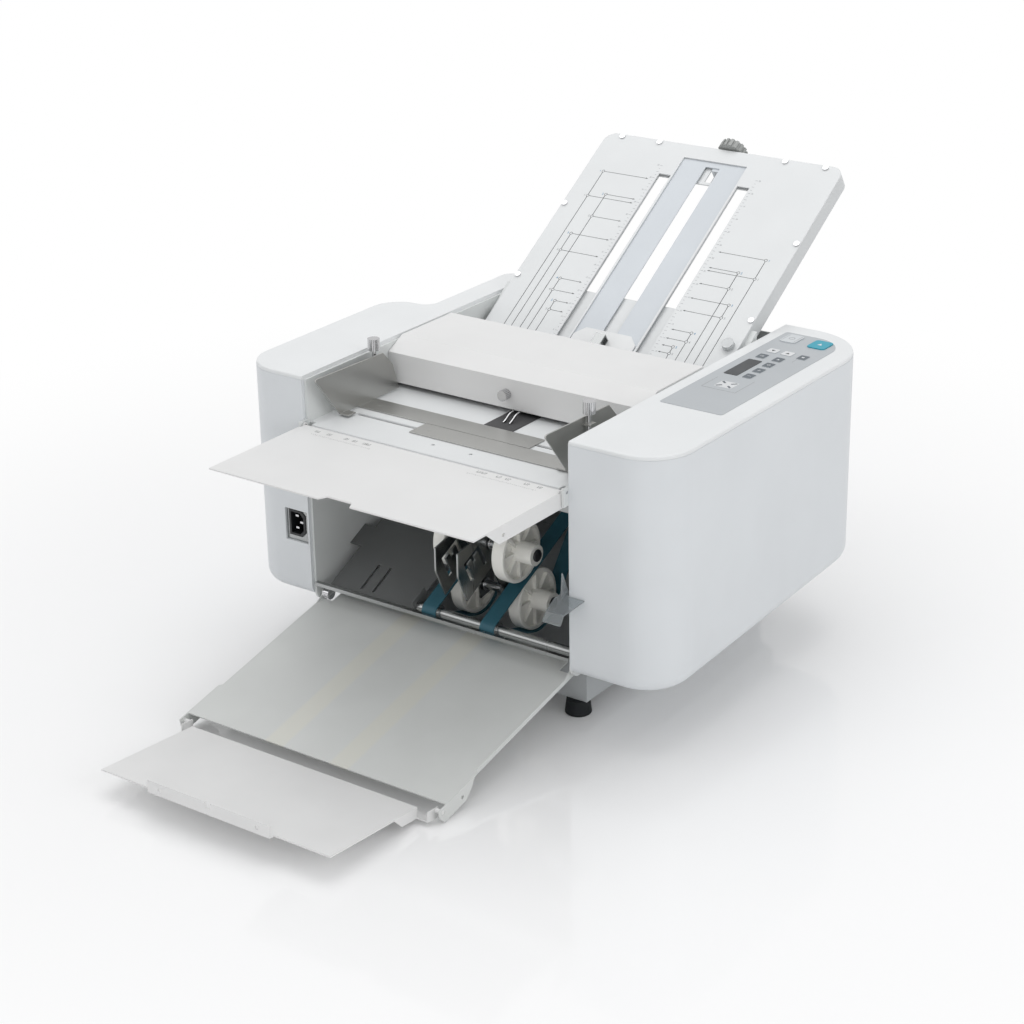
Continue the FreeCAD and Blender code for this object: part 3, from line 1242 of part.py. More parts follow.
def make_exit_plates():
    """Wheel brackets, chute plate and clear deflector at the exit."""
    high, low = s.bracket_high, s.bracket_low
    outline = [(s.bracket_front + s.bracket_depth * back, low + (high - low) * up)
               for back, up in BRACKET_SHARES]
    corner = (s.letter_back, s.letter_height)
    letter = [along(along(corner, s.letter_side * run, s.belt_slope),
                    -s.letter_side * down, s.belt_slope + 90)
              for run, down in E_SHARES]
    brackets = []
    bar = box_outline(s.bar_back, s.bar_back + s.bar_side, s.bar_height,
                      s.bar_height + s.bar_side)
    for across in (s.left_bracket_across, s.right_bracket_across):
        body = new_body("Bracket")
        holes = [(*centre, s.exit_shaft_radius + s.rest_gap)
                 for centre in (exit_upper, exit_lower)]
        pad(body, "YZ", across, across + s.bracket_sheet, [outline], holes)
        cut(body, "YZ", across - s.overrun, across + s.bracket_sheet + s.overrun,
            [letter, bar])
        brackets.append(place(body, None))
    group("wheel_brackets", brackets)

    chute = new_body("chute_plate")
    sheet = s.chute_sheet
    left, right = -s.chute_left, -s.chute_right
    slots = [box_outline(-across - s.chute_slot_width / 2, -across + s.chute_slot_width / 2,
                         s.chute_slot_start, s.chute_slot_start + s.chute_slot_length)
             for across in (s.chute_slot_outer, s.chute_slot_inner)]
    pad(chute, "XY", -sheet, Size(0, "0"), [box_outline(left, right, 0, s.chute_length)] + slots)
    pad(chute, "XZ", Size(0, "0"), sheet, [box_outline(left, right, -s.chute_lip, 0)])
    ear = box_outline(-frame_inner, left, s.chute_length * THIRD, s.chute_length / 2)
    pad(chute, "XY", -sheet, Size(0, "0"), [ear])
    ahead = (conveyor_front[0] - s.chute_low_back, conveyor_front[1] - s.chute_low_height)
    run = ahead[0] * cosine(s.belt_slope) + ahead[1] * sine(s.belt_slope)
    rise = ahead[1] * cosine(s.belt_slope) - ahead[0] * sine(s.belt_slope)
    cheek = box_outline(0, s.chute_cheek_length, -s.chute_lip, s.chute_lip)
    pad(chute, "YZ", right, right + sheet, [cheek],
        [(run, rise, s.exit_shaft_radius + s.running_gap)])
    place(chute, "chute_plate", back=s.chute_low_back, height=s.chute_low_height,
          tilt=s.belt_slope)

    clear = new_body("exit_deflector")
    sheet = s.deflector_sheet
    inner, outer, front = s.deflector_left, s.deflector_right, -s.deflector_front
    foot = s.deflector_foot
    edge = s.gap_half - s.overrun
    plan = [(inner, -foot), (inner + sheet, front), (outer - foot, front),
            (outer, -sheet), (edge, -sheet), (edge, s.frame_front), (inner + foot / 2,
                                                                     s.frame_front)]
    pad(clear, "XY", -sheet, Size(0, "0"), [plan])
    flap_left, flap_right = inner - foot, outer - foot * 2
    drop = [(inner + sheet, 0), (outer - foot, 0), (flap_right, -s.deflector_drop),
            (flap_left, -s.deflector_drop)]
    pad(clear, "XZ", front, front + sheet, [drop])
    fin = [(-foot, 0), (s.frame_front, 0), (s.frame_front, s.deflector_fin_height)]
    pad(clear, "YZ", edge - sheet * 2, edge - sheet, [fin])
    place(clear, "exit_deflector", height=s.deflector_height, tilt=s.deflector_tilt)


def make_tray():
    """Delivery tray with hinge ears behind and bracket ears in front."""
    tray = new_body("delivery_tray")
    sheet, half = s.tray_sheet, s.tray_half
    top, step = -s.tray_drop, -s.tray_step_start
    rear, front = -s.tray_rear_gap, -s.tray_length
    narrow = half - s.tray_step
    tail = narrow - s.tray_corner
    plan = [(-narrow, rear), (-tail, rear), (-tail, s.tray_behind), (tail, s.tray_behind),
            (tail, rear), (narrow, rear), (narrow, step), (half, step - s.tray_step),
            (half, front), (-half, front), (-half, step - s.tray_step), (-narrow, step)]
    pad(tray, "XY", top - sheet, top, [plan])
    knuckle, depth = s.tray_knuckle_radius, s.tray_ear_depth
    low = top - s.tray_flange
    hinge_ear = [(step, low), (knuckle, low), (knuckle, 0), (-knuckle, 0),
                 (-knuckle / THIRD, top), (step, top)]
    start, reach = -s.tray_ear_start, -s.tray_ear_reach
    bracket = [(start, top), (start, top - sheet), (start - knuckle, top - depth / 2),
               (start - depth, top - depth), (reach + knuckle, top - depth),
               (reach, top - depth / 2), (reach, top)]
    pivot = (-s.extension_pin_front, top - s.extension_pin_drop,
             s.extension_pin_radius + s.running_gap)
    spare = (-s.tray_ear_hole, top - s.tray_ear_hole_drop, s.tray_ear_hole_radius)
    for side in (-1, 1):
        near, far = between(side * (narrow - s.tray_ear_sheet), side * narrow)
        left, right = between(side * (half - s.tray_ear_sheet), side * half)
        pad(tray, "YZ", near, far, [hinge_ear])
        pad(tray, "YZ", near, far, circles=[(0, 0, knuckle)])
        pad(tray, "YZ", left, right, [bracket])
        cut(tray, "YZ", near - s.rest_gap, far + s.rest_gap,
            circles=[(0, 0, s.tray_pin_radius + s.running_gap)])
        cut(tray, "YZ", left - s.rest_gap, right + s.rest_gap, circles=[pivot, spare])
    place(tray, "delivery_tray", back=s.tray_hinge_back, height=s.tray_hinge_height,
          tilt=s.tray_slope)

    knob = new_body("tray_knob")
    start = -narrow + s.tray_ear_sheet + s.tray_knob_gap
    knurled(knob, "YZ", start, start + s.tray_knob_length, s.tray_knob_radius,
            s.knurl_depth)
    cut(knob, "YZ", start - s.overrun, start + s.tray_knob_length / 2,
        circles=[(0, 0, s.tray_pin_radius + s.running_gap)])
    place(knob, "tray_knob", back=s.tray_hinge_back, height=s.tray_hinge_height,
          tilt=s.tray_slope)


def make_extension():
    """Fold-out tray extension: plate, hinge channel, trunnions and turned-up grip."""
    piece = new_body("tray_extension")
    sheet, half, grip = s.extension_sheet, s.extension_half, s.grip_half
    start, reach = -s.extension_start, -s.extension_reach
    top, front = extension_top, reach - s.grip_reach
    plan = [(-half, start), (-half, reach), (-grip, reach), (-grip, front), (grip, front),
            (grip, reach), (half, reach), (half, start)]
    pad(piece, "XY", top - sheet, top, [plan])
    under, crest = top - sheet, top - sheet + s.grip_height
    middle = (under + crest) / 2
    lip = [(-grip, under), (grip, under), (grip, crest), (s.grip_notch, crest),
           (s.grip_notch, middle), (-s.grip_notch, middle), (-s.grip_notch, crest),
           (-grip, crest)]
    holes = [(side * s.grip_hole_across, middle, s.grip_hole_radius) for side in (-1, 1)]
    pad(piece, "XZ", front, front + sheet, [lip], holes)
    low, wall_top = top - s.channel_height, s.extension_pin_radius
    pad(piece, "YZ", -s.channel_half, s.channel_half,
        [box_outline(start, -s.channel_depth * THIRD, low, low + sheet)])
    pad(piece, "YZ", -half, half, [box_outline(start, start + sheet, low, top)])
    end_wall = box_outline(start, s.channel_depth * THIRD, low, wall_top)
    flange = [(start, under), (start - s.extension_flange_length, under),
              (start - s.extension_flange_length + s.extension_flange, low),
              (start, low)]
    for side in (-1, 1):
        outer = side * s.channel_half
        near, far = between(outer, side * (s.channel_half - sheet))
        pad(piece, "YZ", near, far, [end_wall])
        near, far = between(side * (s.channel_half - sheet / 2),
                            side * (s.tray_half - s.tray_ear_sheet * QUARTER))
        pad(piece, "YZ", near, far, circles=[(0, 0, s.extension_pin_radius)])
        near, far = between(side * half, side * (half - sheet))
        pad(piece, "YZ", near, far, [flange])
    place(piece, "tray_extension", back=extension_pin_back, height=extension_pin_height,
          tilt=-s.extension_tilt)


def make_base():
    """Base pan under the frames, four rubber feet and the vented rear cover."""
    base = new_body("base_pan")
    plan = box_outline(-s.base_half, s.base_half, s.base_front, s.base_back)
    wall = s.base_wall
    inside = box_outline(-s.base_half + wall, s.base_half - wall, s.base_front + wall,
                         s.base_back - wall)
    pad(base, "XY", s.base_low, s.base_high, [plan])
    cut(base, "XY", s.base_low + wall, s.base_high + s.overrun, [inside])
    for side in (-1, 1):
        left = s.base_half - wall if side > 0 else -s.gap_half
        right = s.gap_half if side > 0 else -s.base_half + wall
        pad(base, "XY", s.base_high - wall, s.base_high,
            [box_outline(left, right, s.base_front, s.base_back)])
    place(base, "base_pan")

    feet = []
    for side in (-1, 1):
        for back in (s.foot_front, s.foot_back):
            foot = new_body("Foot")
            outline = [(0, 0), (s.foot_radius, 0, s.overrun), (s.foot_top_radius, s.base_low),
                       (0, s.base_low)]
            turned(foot, "XZ", outline, "V_Axis")
            across = side * s.foot_across
            feet.append(place(foot, None, back=back, across=across))
    group("rubber_feet", feet)

    rear = new_body("rear_cover")
    start = s.frame_depth - s.rear_sheet - s.overrun
    panel = box_outline(-frame_inner, frame_inner, s.rear_low, s.rear_high)
    vents = [box_outline(-s.vent_width / 2, s.vent_width / 2, s.vent_low + s.vent_pitch * step,
                         s.vent_low + s.vent_pitch * step + s.vent_height)
             for step in range(SIZES["vent_count"])]
    pad(rear, "XZ", start, start + s.rear_sheet, [panel] + vents)
    place(rear, "rear_cover")


def make_electrics():
    """Mains inlet in the left front, power supply and control board."""
    panel = new_body("inlet_panel")
    start = s.inlet_recess
    half_width, half_tall = s.socket_width / 2, s.socket_tall / 2
    middle, height = -s.socket_across, s.socket_height
    chamfer = s.socket_chamfer

    def socket(grow):
        low, high = height - half_tall - grow, height + half_tall + grow
        near, far = middle - half_width - grow, middle + half_width + grow
        return [(near, low), (far - chamfer, low), (far, low + chamfer),
                (far, high - chamfer), (far - chamfer, high), (near, high)]

    pad(panel, "XZ", start, start + s.inlet_sheet,
        [box_outline(-s.inlet_left, -s.inlet_right, s.inlet_low, s.inlet_high), socket(0)])
    place(panel, "inlet_panel")

    inlet = new_body("power_inlet")
    rim = -s.socket_wall
    pad(inlet, "XZ", start - s.socket_rim / 2, start + s.socket_depth, [socket(0)])
    cut(inlet, "XZ", start - s.socket_rim, start + s.socket_depth - s.socket_floor,
        [socket(rim)])
    floor = start + s.socket_depth - s.socket_floor
    for step in (-1, 0, 1):
        across = middle + s.blade_offset * (1 if step == 0 else -1)
        up = height + s.blade_pitch * step
        blade = box_outline(across - s.blade_tall / 2, across + s.blade_tall / 2,
                            up - s.blade_thickness / 2, up + s.blade_thickness / 2)
        pad(inlet, "XZ", floor - s.blade_length, floor + s.overrun, [blade])
    place(inlet, "power_inlet")

    supply = new_body("power_supply")
    box = box_outline(-s.gap_half - s.supply_width, -s.gap_half, s.supply_front,
                      s.supply_front + s.supply_depth)
    pad(supply, "XY", s.supply_low, s.supply_high, [box])
    place(supply, "power_supply")

    board = new_body("control_board")
    under = s.housing_top - s.lid_thickness
    plan = box_outline(s.board_left, s.board_left + s.board_width, s.board_front,
                       s.board_front + s.board_depth)
    pad(board, "XY", under - s.board_gap - s.board_sheet, under - s.board_gap, [plan])
    posts = [(s.board_left + across, s.board_front + back, s.post_radius)
             for across in (s.post_inset, s.board_width - s.post_inset)
             for back in (s.post_inset, s.board_depth - s.post_inset)]
    pad(board, "XY", under - s.board_gap - s.board_sheet, under, circles=posts)
    place(board, "control_board")


def check_document():
    """Stop on any failed feature, empty shape, or cut that removes nothing."""
    doc.recompute()
    for thing in doc.Objects:
        if "Invalid" in thing.State or "Error" in thing.State:
            raise RuntimeError(f"{thing.Name} of {thing.Label} failed: {thing.State}")
        if thing.TypeId == "PartDesign::Pocket":
            removed = thing.BaseFeature.Shape.Volume - thing.Shape.Volume
            if removed <= 0:
                owner = thing.getParentGeoFeatureGroup()
                raise RuntimeError(f"{thing.Name} in {owner.Label} cuts nothing")
    for label, thing in nodes.items():
        if thing.Shape.isNull() or not thing.Shape.isValid() or not thing.Shape.Solids:
            raise RuntimeError(f"{label} has no valid shape")


def write_parts():
    os.makedirs("parts", exist_ok=True)
    for label, thing in nodes.items():
        thing.Shape.exportStep(os.path.join("parts", f"{label}.step"))
    print(len(nodes), "sub-parts written")


make_frames()
make_bearings()
make_cross_members()
make_housings()
make_lids_and_controls()
make_feed_table()
make_flap()
make_guide("left_guide", -1, -s.guide_left, s.rear_slot_back, s.strip_length,
           s.left_lock_back)
make_guide("right_guide", 1, s.guide_right, s.front_slot_back, s.right_strip_length,
           s.right_lock_back)
make_cover()
make_hinge_pins()
make_fold_plate()
make_fold_stop()
make_plate_supports()
make_exit_drive(make_rollers())
make_belts()
make_motor()
make_exit_plates()
make_tray()
make_extension()
make_base()
make_electrics()
check_document()
write_parts()
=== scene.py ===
"""Looks of the desktop paper folding machine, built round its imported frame.

Lengths are in metres. The origin is the bottom centre of the machine's box,
+X is to the operator's right, +Y to the back and +Z up.
"""

import math

import bmesh
import bpy
from mathutils import Matrix, Vector


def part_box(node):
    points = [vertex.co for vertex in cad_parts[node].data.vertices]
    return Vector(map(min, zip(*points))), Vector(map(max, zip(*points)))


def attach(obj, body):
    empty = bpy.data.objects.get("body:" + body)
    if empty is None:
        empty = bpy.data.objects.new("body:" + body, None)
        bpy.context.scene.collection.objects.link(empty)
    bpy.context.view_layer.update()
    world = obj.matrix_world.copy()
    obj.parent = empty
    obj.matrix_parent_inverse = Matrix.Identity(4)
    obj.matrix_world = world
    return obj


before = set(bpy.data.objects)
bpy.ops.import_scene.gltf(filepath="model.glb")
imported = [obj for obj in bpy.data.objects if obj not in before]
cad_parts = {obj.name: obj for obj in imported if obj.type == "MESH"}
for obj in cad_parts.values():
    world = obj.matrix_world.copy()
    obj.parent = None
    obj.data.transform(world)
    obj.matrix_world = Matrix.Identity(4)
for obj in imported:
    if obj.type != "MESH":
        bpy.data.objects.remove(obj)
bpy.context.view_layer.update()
MM = 0.001


def corner(node):
    """Lowest and highest corner of a CAD node as vectors."""
    low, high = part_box(node)
    return Vector(low), Vector(high)


def add_piece(name, mesh, material, body):
    """Make an object of a mesh and let it ride on a body of the frame."""
    mesh.materials.clear()
    mesh.materials.append(material)
    piece = bpy.data.objects.new(name, mesh)
    bpy.context.collection.objects.link(piece)
    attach(piece, body)


def mesh_from(work, name):
    """Turn a working mesh into a mesh of the scene."""
    mesh = bpy.data.meshes.new(name)
    work.to_mesh(mesh)
    work.free()
    return mesh


# Materials

NOISE_LOW = 0.3
NOISE_HIGH = 0.7
BEVEL_SAMPLES = 4
WEAR_WIDTH = 0.5 * MM
WEAR_STARTS = 0.995
WEAR_FULL = 0.85
EDGE_ROUNDING = 0.45 * MM
RELIEF_DEPTH = 0.2 * MM
DRIFT_SCALE = 14.0
GLOSS_SCALE = 45.0
WEAR_SCALE = 90.0
PLASTIC_IOR = 1.45


def new_material(name):
    """A material with its node tree and its shader."""
    material = bpy.data.materials.new(name)
    material.use_nodes = True
    tree = material.node_tree
    return material, tree, tree.nodes["Principled BSDF"]


def add_noise(tree, scale, detail=3.0, stretch=(1, 1, 1)):
    """A noise in the object's own coordinates, so that it stays on a moving piece."""
    where = tree.nodes.new("ShaderNodeTexCoord")
    mapping = tree.nodes.new("ShaderNodeMapping")
    mapping.inputs["Scale"].default_value = stretch
    noise = tree.nodes.new("ShaderNodeTexNoise")
    noise.inputs["Scale"].default_value = scale
    noise.inputs["Detail"].default_value = detail
    tree.links.new(where.outputs["Object"], mapping.inputs["Vector"])
    tree.links.new(mapping.outputs["Vector"], noise.inputs["Vector"])
    return noise.outputs["Fac"]


def remap(tree, source, low, high):
    """Spread a noise over a range of values."""
    node = tree.nodes.new("ShaderNodeMapRange")
    node.inputs["From Min"].default_value = NOISE_LOW
    node.inputs["From Max"].default_value = NOISE_HIGH
    node.inputs["To Min"].default_value = low
    node.inputs["To Max"].default_value = high
    tree.links.new(source, node.inputs["Value"])
    return node.outputs["Result"]


def mix_colours(tree, factor, first, second):
    """Blend two colours; each is a plain colour or the output of a node."""
    node = tree.nodes.new("ShaderNodeMix")
    node.data_type = "RGBA"
    tree.links.new(factor, node.inputs[0])
    for socket, colour in ((node.inputs[6], first), (node.inputs[7], second)):
        if isinstance(colour, tuple):
            socket.default_value = colour + (1.0,)
        else:
            tree.links.new(colour, socket)
    return node.outputs[2]


def shade(colour, factor):
    """The colour, darker or lighter by a factor."""
    return tuple(channel * factor for channel in colour)


def edge_wear(tree, width, strength):
    """A mask that is high along sharp edges, broken up by noise."""
    geometry = tree.nodes.new("ShaderNodeNewGeometry")
    bevel = tree.nodes.new("ShaderNodeBevel")
    bevel.inputs["Radius"].default_value = width
    bevel.samples = BEVEL_SAMPLES
    product = tree.nodes.new("ShaderNodeVectorMath")
    product.operation = "DOT_PRODUCT"
    tree.links.new(geometry.outputs["Normal"], product.inputs[0])
    tree.links.new(bevel.outputs["Normal"], product.inputs[1])
    mask = tree.nodes.new("ShaderNodeMapRange")
    mask.inputs["From Min"].default_value = WEAR_STARTS
    mask.inputs["From Max"].default_value = WEAR_FULL
    mask.inputs["To Min"].default_value = 0.0
    mask.inputs["To Max"].default_value = strength
    tree.links.new(product.outputs["Value"], mask.inputs["Value"])
    broken = tree.nodes.new("ShaderNodeMath")
    broken.operation = "MULTIPLY"
    tree.links.new(mask.outputs["Result"], broken.inputs[0])
    tree.links.new(remap(tree, add_noise(tree, WEAR_SCALE), 0.2, 1.0), broken.inputs[1])
    return broken.outputs["Value"]


def surface(name, colour, roughness, metallic=0.0, grain=900.0, bump=0.05, spread=0.04,
            stretch=(1, 1, 1), wear=0.0, worn=None, coat=0.0, specular=0.5, smudge=0.06):
    """A finish with grain, slow colour drift, uneven gloss and paler edges."""
    material, tree, shader = new_material(name)
    shader.inputs["Metallic"].default_value = metallic
    shader.inputs["Specular IOR Level"].default_value = specular
    shader.inputs["Coat Weight"].default_value = coat
    drift = remap(tree, add_noise(tree, DRIFT_SCALE, 2.0), 0.0, 1.0)
    tone = mix_colours(tree, drift, shade(colour, 1 - spread), shade(colour, 1 + spread / 2))
    if wear:
        mask = edge_wear(tree, WEAR_WIDTH, wear)
        tone = mix_colours(tree, mask, tone, worn or shade(colour, 1.25))
    tree.links.new(tone, shader.inputs["Base Color"])
    gloss = remap(tree, add_noise(tree, GLOSS_SCALE, 4.0, stretch),
                  roughness - smudge / 2, roughness + smudge / 2)
    tree.links.new(gloss, shader.inputs["Roughness"])
    relief = tree.nodes.new("ShaderNodeBump")
    relief.inputs["Strength"].default_value = bump
    relief.inputs["Distance"].default_value = RELIEF_DEPTH
    tree.links.new(add_noise(tree, grain, 2.0, stretch), relief.inputs["Height"])
    if wear:
        rounding = tree.nodes.new("ShaderNodeBevel")
        rounding.inputs["Radius"].default_value = EDGE_ROUNDING
        rounding.samples = BEVEL_SAMPLES
        tree.links.new(rounding.outputs["Normal"], relief.inputs["Normal"])
    tree.links.new(relief.outputs["Normal"], shader.inputs["Normal"])
    return material


def see_through(name, colour, roughness, weight):
    """A clear or smoked plastic."""
    material = surface(name, colour, roughness, bump=0.02, coat=0.2)
    shader = material.node_tree.nodes["Principled BSDF"]
    shader.inputs["Transmission Weight"].default_value = weight
    shader.inputs["IOR"].default_value = PLASTIC_IOR
    return material


STRIPE_CORE = 0.7
STRIPE_STRENGTH = 0.55


def striped_tray(name, colour, stripe, places, half_width):
    """Sheet paint with two faint worn stripes along the paper's way."""
    material = surface(name, colour, 0.33, grain=700.0, bump=0.04, wear=0.5,
                       worn=(0.76, 0.76, 0.75), specular=0.7)
    tree = material.node_tree
    shader = tree.nodes["Principled BSDF"]
    tone = shader.inputs["Base Color"].links[0].from_socket
    where = tree.nodes.new("ShaderNodeTexCoord")
    split = tree.nodes.new("ShaderNodeSeparateXYZ")
    tree.links.new(where.outputs["Object"], split.inputs["Vector"])
    for place in places:
        away = tree.nodes.new("ShaderNodeMath")
        away.operation = "SUBTRACT"
        away.inputs[1].default_value = place
        tree.links.new(split.outputs["X"], away.inputs[0])
        size = tree.nodes.new("ShaderNodeMath")
        size.operation = "ABSOLUTE"
        tree.links.new(away.outputs["Value"], size.inputs[0])
        mask = tree.nodes.new("ShaderNodeMapRange")
        mask.inputs["From Min"].default_value = half_width
        mask.inputs["From Max"].default_value = half_width * STRIPE_CORE
        mask.inputs["To Max"].default_value = STRIPE_STRENGTH
        tree.links.new(size.outputs["Value"], mask.inputs["Value"])
        tone = mix_colours(tree, mask.outputs["Result"], tone, stripe)
    tree.links.new(tone, shader.inputs["Base Color"])
    return material


LONG_X = (0.02, 1, 1)
LONG_Y = (1, 0.02, 1)
SHELL = surface("shell_plastic", (0.71, 0.735, 0.755), 0.40, grain=1600.0, bump=0.06,
                spread=0.02, wear=0.25, worn=(0.78, 0.80, 0.82))
LID = surface("lid_plastic", (0.79, 0.805, 0.81), 0.36, grain=1600.0, bump=0.05,
              spread=0.02, wear=0.3, worn=(0.86, 0.87, 0.88))
FRAME_COAT = surface("frame_coat", (0.72, 0.74, 0.735), 0.38, grain=800.0, bump=0.10,
                     wear=0.5, worn=(0.70, 0.71, 0.71))
PAN_COAT = surface("pan_coat", (0.50, 0.52, 0.53), 0.45, grain=800.0, bump=0.08, wear=0.4)
WHITE_SHEET = surface("white_sheet", (0.745, 0.76, 0.765), 0.36, grain=900.0, bump=0.05,
                      spread=0.02, wear=0.4, worn=(0.82, 0.83, 0.84))
# The rim's sheet is the white sheet paint made darker as painted shade: the rim is the same
# paint as the plate, seen in shade.
PAINTED_SHADE_RIM_SHEET = surface("rim_sheet_painted_shade", (0.64, 0.655, 0.66), 0.36, grain=900.0, bump=0.05,
                    spread=0.02, wear=0.4, worn=(0.76, 0.77, 0.78))
WARM_SHEET = surface("warm_sheet", (0.765, 0.765, 0.76), 0.40, grain=900.0, bump=0.06,
                     spread=0.02, wear=0.4, worn=(0.82, 0.82, 0.81))
GREY_SHEET = surface("grey_sheet", (0.77, 0.77, 0.765), 0.40, grain=800.0, bump=0.05,
                     spread=0.03, wear=0.5, worn=(0.78, 0.78, 0.77))
TRAY_SHEET = striped_tray("tray_sheet", (0.655, 0.67, 0.655), (0.71, 0.70, 0.61),
                          (-62 * MM, 22 * MM), 14 * MM)
BRUSHED = surface("brushed_steel", (0.47, 0.47, 0.455), 0.32, metallic=1.0, grain=600.0,
                  bump=0.12, stretch=LONG_Y, spread=0.08, wear=0.3)
GROUND = surface("ground_steel", (0.52, 0.53, 0.54), 0.22, metallic=1.0, grain=900.0,
                 bump=0.05, stretch=LONG_X, spread=0.06)
DARK_STEEL = surface("dark_steel", (0.40, 0.41, 0.41), 0.26, metallic=1.0, grain=500.0,
                     bump=0.10, stretch=(1, 1, 0.03), spread=0.12, wear=0.6,
                     worn=(0.75, 0.75, 0.74))
DARK_SHEET = surface("dark_sheet", (0.13, 0.135, 0.135), 0.42, grain=900.0, bump=0.10,
                     spread=0.10, wear=0.5, worn=(0.25, 0.26, 0.26))
RAIL_COAT = surface("rail_coat", (0.62, 0.655, 0.69), 0.32, grain=800.0, bump=0.06,
                    spread=0.03, wear=0.5)
CHROME = surface("bright_chrome", (0.62, 0.62, 0.63), 0.16, metallic=1.0, grain=900.0,
                 bump=0.04, spread=0.05)
FEET = surface("feet_rubber", (0.012, 0.014, 0.016), 0.6, grain=700.0, bump=0.2,
               specular=0.25)
ROLLER_RUBBER = surface("roller_rubber", (0.05, 0.05, 0.052), 0.6, grain=900.0, bump=0.25)
BELT = surface("belt_rubber", (0.020, 0.105, 0.145), 0.50, grain=1400.0, bump=0.20,
               spread=0.12, wear=0.4, worn=(0.05, 0.13, 0.16))
DRIVE_RUBBER = surface("drive_rubber", (0.02, 0.02, 0.02), 0.6, grain=900.0, bump=0.2)
IVORY = surface("ivory_plastic", (0.93, 0.92, 0.87), 0.34, grain=1200.0, bump=0.06,
                spread=0.05, wear=0.4, worn=(0.88, 0.87, 0.83), coat=0.1)
STOP_WHITE = surface("stop_plastic", (0.80, 0.81, 0.81), 0.32, grain=1200.0, bump=0.05,
                     wear=0.3)
FILM = surface("control_film", (0.46, 0.485, 0.505), 0.34, grain=2200.0, bump=0.05,
               spread=0.02)
DISPLAY = surface("display_glass", (0.05, 0.055, 0.06), 0.35, bump=0.0, spread=0.3,
                  specular=0.35)
STOP_KEY = surface("stop_key", (0.60, 0.63, 0.65), 0.32, grain=1500.0, bump=0.04, coat=0.2)
START_KEY = surface("start_key", (0.045, 0.36, 0.47), 0.42, grain=1500.0, bump=0.04,
                    specular=0.3)
GREY_KNOB = surface("grey_knob", (0.36, 0.37, 0.36), 0.42, grain=900.0, bump=0.15,
                    wear=0.4, worn=(0.4, 0.41, 0.42))
CLEAR = see_through("clear_plastic", (0.62, 0.66, 0.68), 0.08, 0.75)
MILKY = see_through("milky_plastic", (0.80, 0.82, 0.83), 0.22, 0.3)
BRASS = surface("sintered_brass", (0.42, 0.32, 0.15), 0.42, metallic=1.0, grain=900.0, bump=0.1)
BLACK = surface("black_plastic", (0.014, 0.015, 0.017), 0.4, grain=1500.0, bump=0.12,
                wear=0.4, worn=(0.08, 0.08, 0.085))
BOARD = surface("board_lacquer", (0.02, 0.12, 0.05), 0.35, grain=500.0, bump=0.1)
MOTOR = surface("motor_coat", (0.06, 0.063, 0.067), 0.42, grain=700.0, bump=0.2)
CASE = surface("supply_case", (0.50, 0.51, 0.52), 0.38, metallic=1.0, grain=500.0, bump=0.08)
INK = surface("print_ink", (0.045, 0.048, 0.052), 0.5, grain=1500.0, bump=0.05)
PALE_INK = surface("pale_ink", (0.30, 0.31, 0.32), 0.5, grain=1500.0, bump=0.05)
BLUE_INK = surface("blue_ink", (0.03, 0.22, 0.42), 0.5, grain=1500.0, bump=0.05)
KEY_GREY = surface("key_grey", (0.085, 0.105, 0.125), 0.35, grain=1500.0, bump=0.04, coat=0.1)
KEY_WHITE = surface("key_white", (0.72, 0.73, 0.74), 0.32, grain=1500.0, bump=0.04, coat=0.1)

LOOKS = {
    SHELL: ["right_housing", "left_housing"],
    LID: ["right_lid", "left_lid"],
    FRAME_COAT: ["left_frame", "right_frame", "plate_supports", "rear_cover"],
    PAN_COAT: ["base_pan"],
    WHITE_SHEET: ["feed_table", "fold_plate_face", "fold_plate_back"],
    # The fold plate's rim takes the darker painted-shade copy of the white sheet.
    PAINTED_SHADE_RIM_SHEET: ["fold_plate_rim"],
    WARM_SHEET: ["feed_flap", "top_cover"],
    GREY_SHEET: ["tray_extension"],
    TRAY_SHEET: ["delivery_tray"],
    BRUSHED: ["left_guide", "right_guide"],
    GROUND: ["exit_shaft_upper", "exit_shaft_lower", "conveyor_shaft_rear",
             "motor_shaft", "hinge_pins"],
    # The front conveyor shaft takes the dark steel instead of the ground steel of the other
    # shafts, as painted shade for the dim zone it sits in.
    DARK_STEEL: ["stop_clip", "wheel_brackets", "tie_rods", "front_rail", "inlet_panel",
                 "conveyor_shaft_front"],
    DARK_SHEET: ["chute_plate"],
    RAIL_COAT: ["stop_rail"],
    CHROME: ["left_lock_screw", "right_lock_screw", "cover_screw", "plate_screws",
             "tray_knob"],
    FEET: ["rubber_feet"],
    ROLLER_RUBBER: ["fold_roller_upper", "fold_roller_middle", "fold_roller_lower",
                    "feed_roller", "separator"],
    BELT: ["conveyor_belts"],
    DRIVE_RUBBER: ["drive_belts"],
    IVORY: ["exit_wheels_upper", "exit_wheels_lower"],
    STOP_WHITE: ["fold_stop"],
    FILM: ["control_film"],
    DISPLAY: ["display_window"],
    STOP_KEY: ["stop_button"],
    START_KEY: ["start_button"],
    GREY_KNOB: ["adjust_wheel"],
    CLEAR: ["exit_deflector"],
    MILKY: ["plate_latch"],
    BRASS: ["shaft_bushes"],
    BLACK: ["power_inlet"],
    BOARD: ["control_board"],
    MOTOR: ["main_motor"],
    CASE: ["power_supply"],
}


def dress_nodes():
    """Give every CAD node its material."""
    for material, nodes in LOOKS.items():
        for node in nodes:
            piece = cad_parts[node]
            piece.data.materials.clear()
            piece.data.materials.append(material)


dress_nodes()


# Printed and added detail

PLATE_TILT = math.radians(32.95)
PRINT_LIFT = 0.03 * MM
PRINT_THICKNESS = 0.06 * MM
ACROSS = (1, 0, 0)
AWAY = (0, 1, 0)


